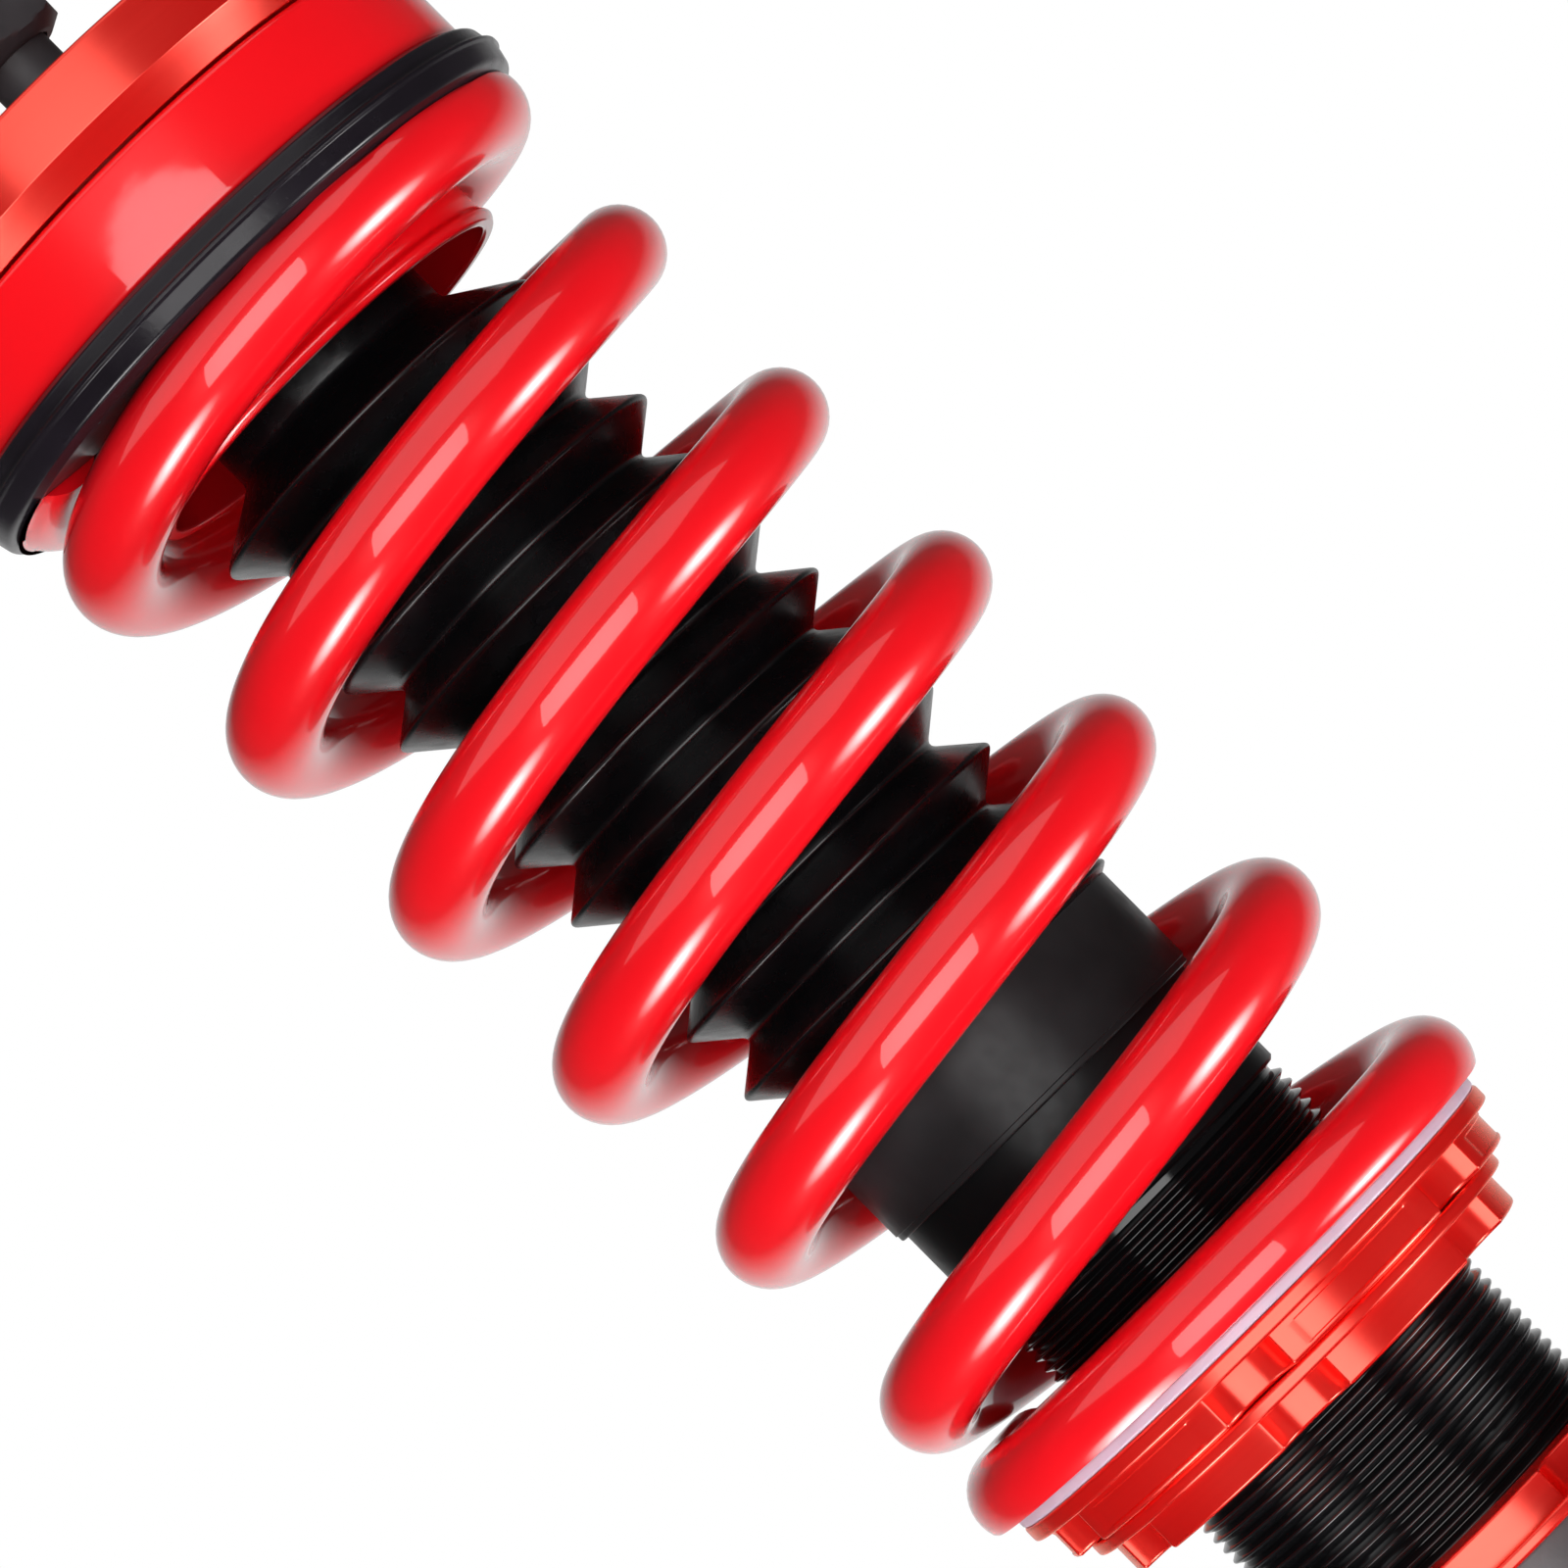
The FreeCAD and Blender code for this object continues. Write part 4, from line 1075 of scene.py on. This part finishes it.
def make_clevis_welds():
    """A bead up each side of the clevis and one over its top, where it meets the sleeve."""
    sleeve_r = radius_of("bracket_sleeve")
    low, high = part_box("knuckle_clevis")
    corner_x = math.sqrt(sleeve_r ** 2 - high.y ** 2) + 0.0012
    corner_y = high.y + 0.0002
    start_gap, spacing = 0.002, 0.0005
    length = high.z - low.z - 2 * start_gap
    steps = int(length / spacing)
    for side, where in ((-1, "left"), (1, "right")):
        path = [Vector((corner_x, side * corner_y, low.z + start_gap + length * step / steps))
                for step in range(steps + 1)]
        weld("clevis_weld_" + where, path, 0.0021)
    half = math.asin(high.y / sleeve_r)
    weld("clevis_weld_top", arc_path(sleeve_r + WELD_LIFT, high.z + WELD_LIFT, 0, half), 0.0019)


def make_tab_welds(node, outward):
    """A bead under a tab and one over it, round the sleeve to just short of the tab's sides."""
    short = 0.0008
    sleeve_r = radius_of("bracket_sleeve")
    low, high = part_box(node)
    across = abs(outward.y) * (high.x - low.x) + abs(outward.x) * (high.y - low.y)
    half = math.asin((across / 2 - short) / sleeve_r)
    middle = math.atan2(outward.y, outward.x)
    for height, where in ((low.z - WELD_LIFT, "under"), (high.z + WELD_LIFT, "over")):
        weld("%s_weld_%s" % (node, where), arc_path(sleeve_r + WELD_LIFT, height, middle, half), 0.0014)


# -------- scene


def dress_cad_nodes():
    """Gives every CAD node that stays the finish of its slot."""
    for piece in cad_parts.values():
        for holder in piece.material_slots:
            holder.material = MATERIALS[slot_name(holder.material)]


def make_pieces():
    make_top_plate()
    make_studs()
    make_rod()
    make_nut()
    make_knob()
    make_upper_spring_seat()
    make_isolator()
    make_spring()
    make_dust_boot()
    make_cuff()
    make_damper_tube()
    make_slip_washer()
    make_seat_ring()
    make_lock_ring("seat_lock_ring", "seat_rings", turn=-6, flange_high=0.0022, upright=False)
    make_lock_ring("bracket_lock_ring", "bracket_ring", turn=29, flange_high=0.0019, upright=True)
    make_sleeve()
    make_clevis()
    make_tab("link_tab", LINK_WAY, bore_reach=0.048, bore_r=0.0061)
    make_tab("hose_tab", HOSE_WAY, bore_reach=0.046, bore_r=0.0052)
    make_clevis_welds()
    make_tab_welds("link_tab", LINK_WAY)
    make_tab_welds("hose_tab", HOSE_WAY)


def stage_object(name, mesh, material):
    made = new_object(name, mesh)
    mesh.materials.append(material)
    return made


def make_floor():
    """A pale round floor, below the hanging strut and the lights."""
    radius = 1.6
    clearance = 0.75
    base = CAD_LOW.z - clearance
    part = turned([(radius, base), (radius - EDGE, base + EDGE), (0, base + EDGE)], closed=False)
    material = new_material("pale_floor", (0.82, 0.82, 0.83), 0.6, Emission_Color=WHITE,
                            Emission_Strength=0.6)
    vary_roughness(material, noise_in(material, place_in(material), scale=8), smooth=0.5, rough=0.7)
    floor = stage_object("floor", new_mesh("floor", part), material)
    floor.visible_glossy = False
    floor.visible_diffuse = False


def glowing_panel(name, radiance, soft=False):
    """A square of light that casts no shadow and hides from the camera. A soft one fades to its edges."""
    falloff = 1.6
    mesh = bpy.data.meshes.new(name)
    mesh.from_pydata([(-1, -1, 0), (1, -1, 0), (1, 1, 0), (-1, 1, 0)], [], [(0, 1, 2, 3)])
    material = bpy.data.materials.new(name)
    material.use_nodes = True
    material.node_tree.nodes.clear()
    strength = radiance
    if soft:
        spread = add(material, "TexGradient", {0: place_in(material)}, gradient_type="SPHERICAL")[0]
        fade = add(material, "Math", {0: spread, 1: falloff}, operation="POWER")[0]
        strength = add(material, "Math", {0: fade, 1: radiance}, operation="MULTIPLY")[0]
    glow = add(material, "Emission", {"Color": WHITE, "Strength": strength})[0]
    add(material, "OutputMaterial", {"Surface": glow})
    panel = stage_object(name, mesh, material)
    panel.visible_camera = False
    panel.visible_shadow = False
    return panel


def aim(panel, azimuth, elevation, distance, wide, high):
    """Stands a panel square to the strut. Angles are in degrees, and azimuth 0 is towards the front."""
    turn, lift = math.radians(azimuth), math.radians(elevation)
    outward = Vector((math.sin(turn) * math.cos(lift), -math.cos(turn) * math.cos(lift), math.sin(lift)))
    half_wide, half_high = (distance * math.tan(math.radians(angle / 2)) for angle in (wide, high))
    panel.location = LIGHT_CENTRE + outward * distance
    panel.rotation_euler = outward.to_track_quat("Z", "Y").to_euler()
    panel.scale = (half_wide, half_high, 1)


def make_lights():
    """A large panel in front, a softbox low on each side, a ceiling, and plain light from behind."""
    aim(glowing_panel("front_panel", 4.0), -3, -8.5, distance=4.0, wide=49, high=40.2)
    for name, azimuth, elevation in (("left_softbox", -62, -45), ("right_softbox", 70, -43)):
        aim(glowing_panel(name, 30.0, soft=True), azimuth, elevation, distance=0.9, wide=48, high=32)
    behind = glowing_panel("back_panel", 1.1)
    behind.visible_glossy = False
    aim(behind, 180, 15, distance=3.0, wide=60, high=50)
    ceiling = glowing_panel("ceiling_panel", 1.0)
    ceiling.location = LIGHT_CENTRE + Vector((0, -1.0, 1.0))
    ceiling.scale = (1.6, 0.85, 1)


def make_world():
    """White behind the strut, dark in front of it, and a plain white ground for the camera."""
    world = bpy.data.worlds.new("studio")
    bpy.context.scene.world = world
    world.use_nodes = True
    world.node_tree.nodes.clear()
    brightest = (0, 0.97, -0.25)
    direction = add(world, "TexCoord")["Generated"]
    behind = add(world, "VectorMath", {0: direction, 1: brightest}, operation="DOT_PRODUCT")["Value"]
    room = add(world, "MapRange", {"Value": behind, "From Min": 0.7, "From Max": 1.0, "To Min": 0.05,
                                   "To Max": 0.8})[0]
    seen = add(world, "LightPath")["Is Camera Ray"]
    level = add(world, "Math", {0: room, 1: seen}, operation="MAXIMUM")[0]
    glow = add(world, "Background", {"Color": WHITE, "Strength": level})[0]
    add(world, "OutputWorld", {"Surface": glow})


def make_camera():
    data = bpy.data.cameras.new("camera")
    data.lens = CAMERA_LENS
    data.sensor_width = CAMERA_SENSOR
    camera = new_object("camera", data)
    ahead = Vector((
        math.sin(CAMERA_PAN) * math.cos(CAMERA_TILT), math.cos(CAMERA_PAN) * math.cos(CAMERA_TILT),
        math.sin(CAMERA_TILT)))
    level = Vector((math.cos(CAMERA_PAN), -math.sin(CAMERA_PAN), 0))
    above = level.cross(ahead)
    right = level * math.cos(CAMERA_ROLL) + above * math.sin(CAMERA_ROLL)
    up = above * math.cos(CAMERA_ROLL) - level * math.sin(CAMERA_ROLL)
    turn = camera.matrix_world.to_3x3()
    turn.col[0], turn.col[1], turn.col[2] = right, up, -ahead
    camera.matrix_world = turn.to_4x4()
    camera.location = CAMERA_PLACE
    bpy.context.scene.camera = camera


dress_cad_nodes()
make_pieces()
make_floor()
make_lights()
make_world()
make_camera()
bpy.context.scene.view_settings.view_transform = "Standard"
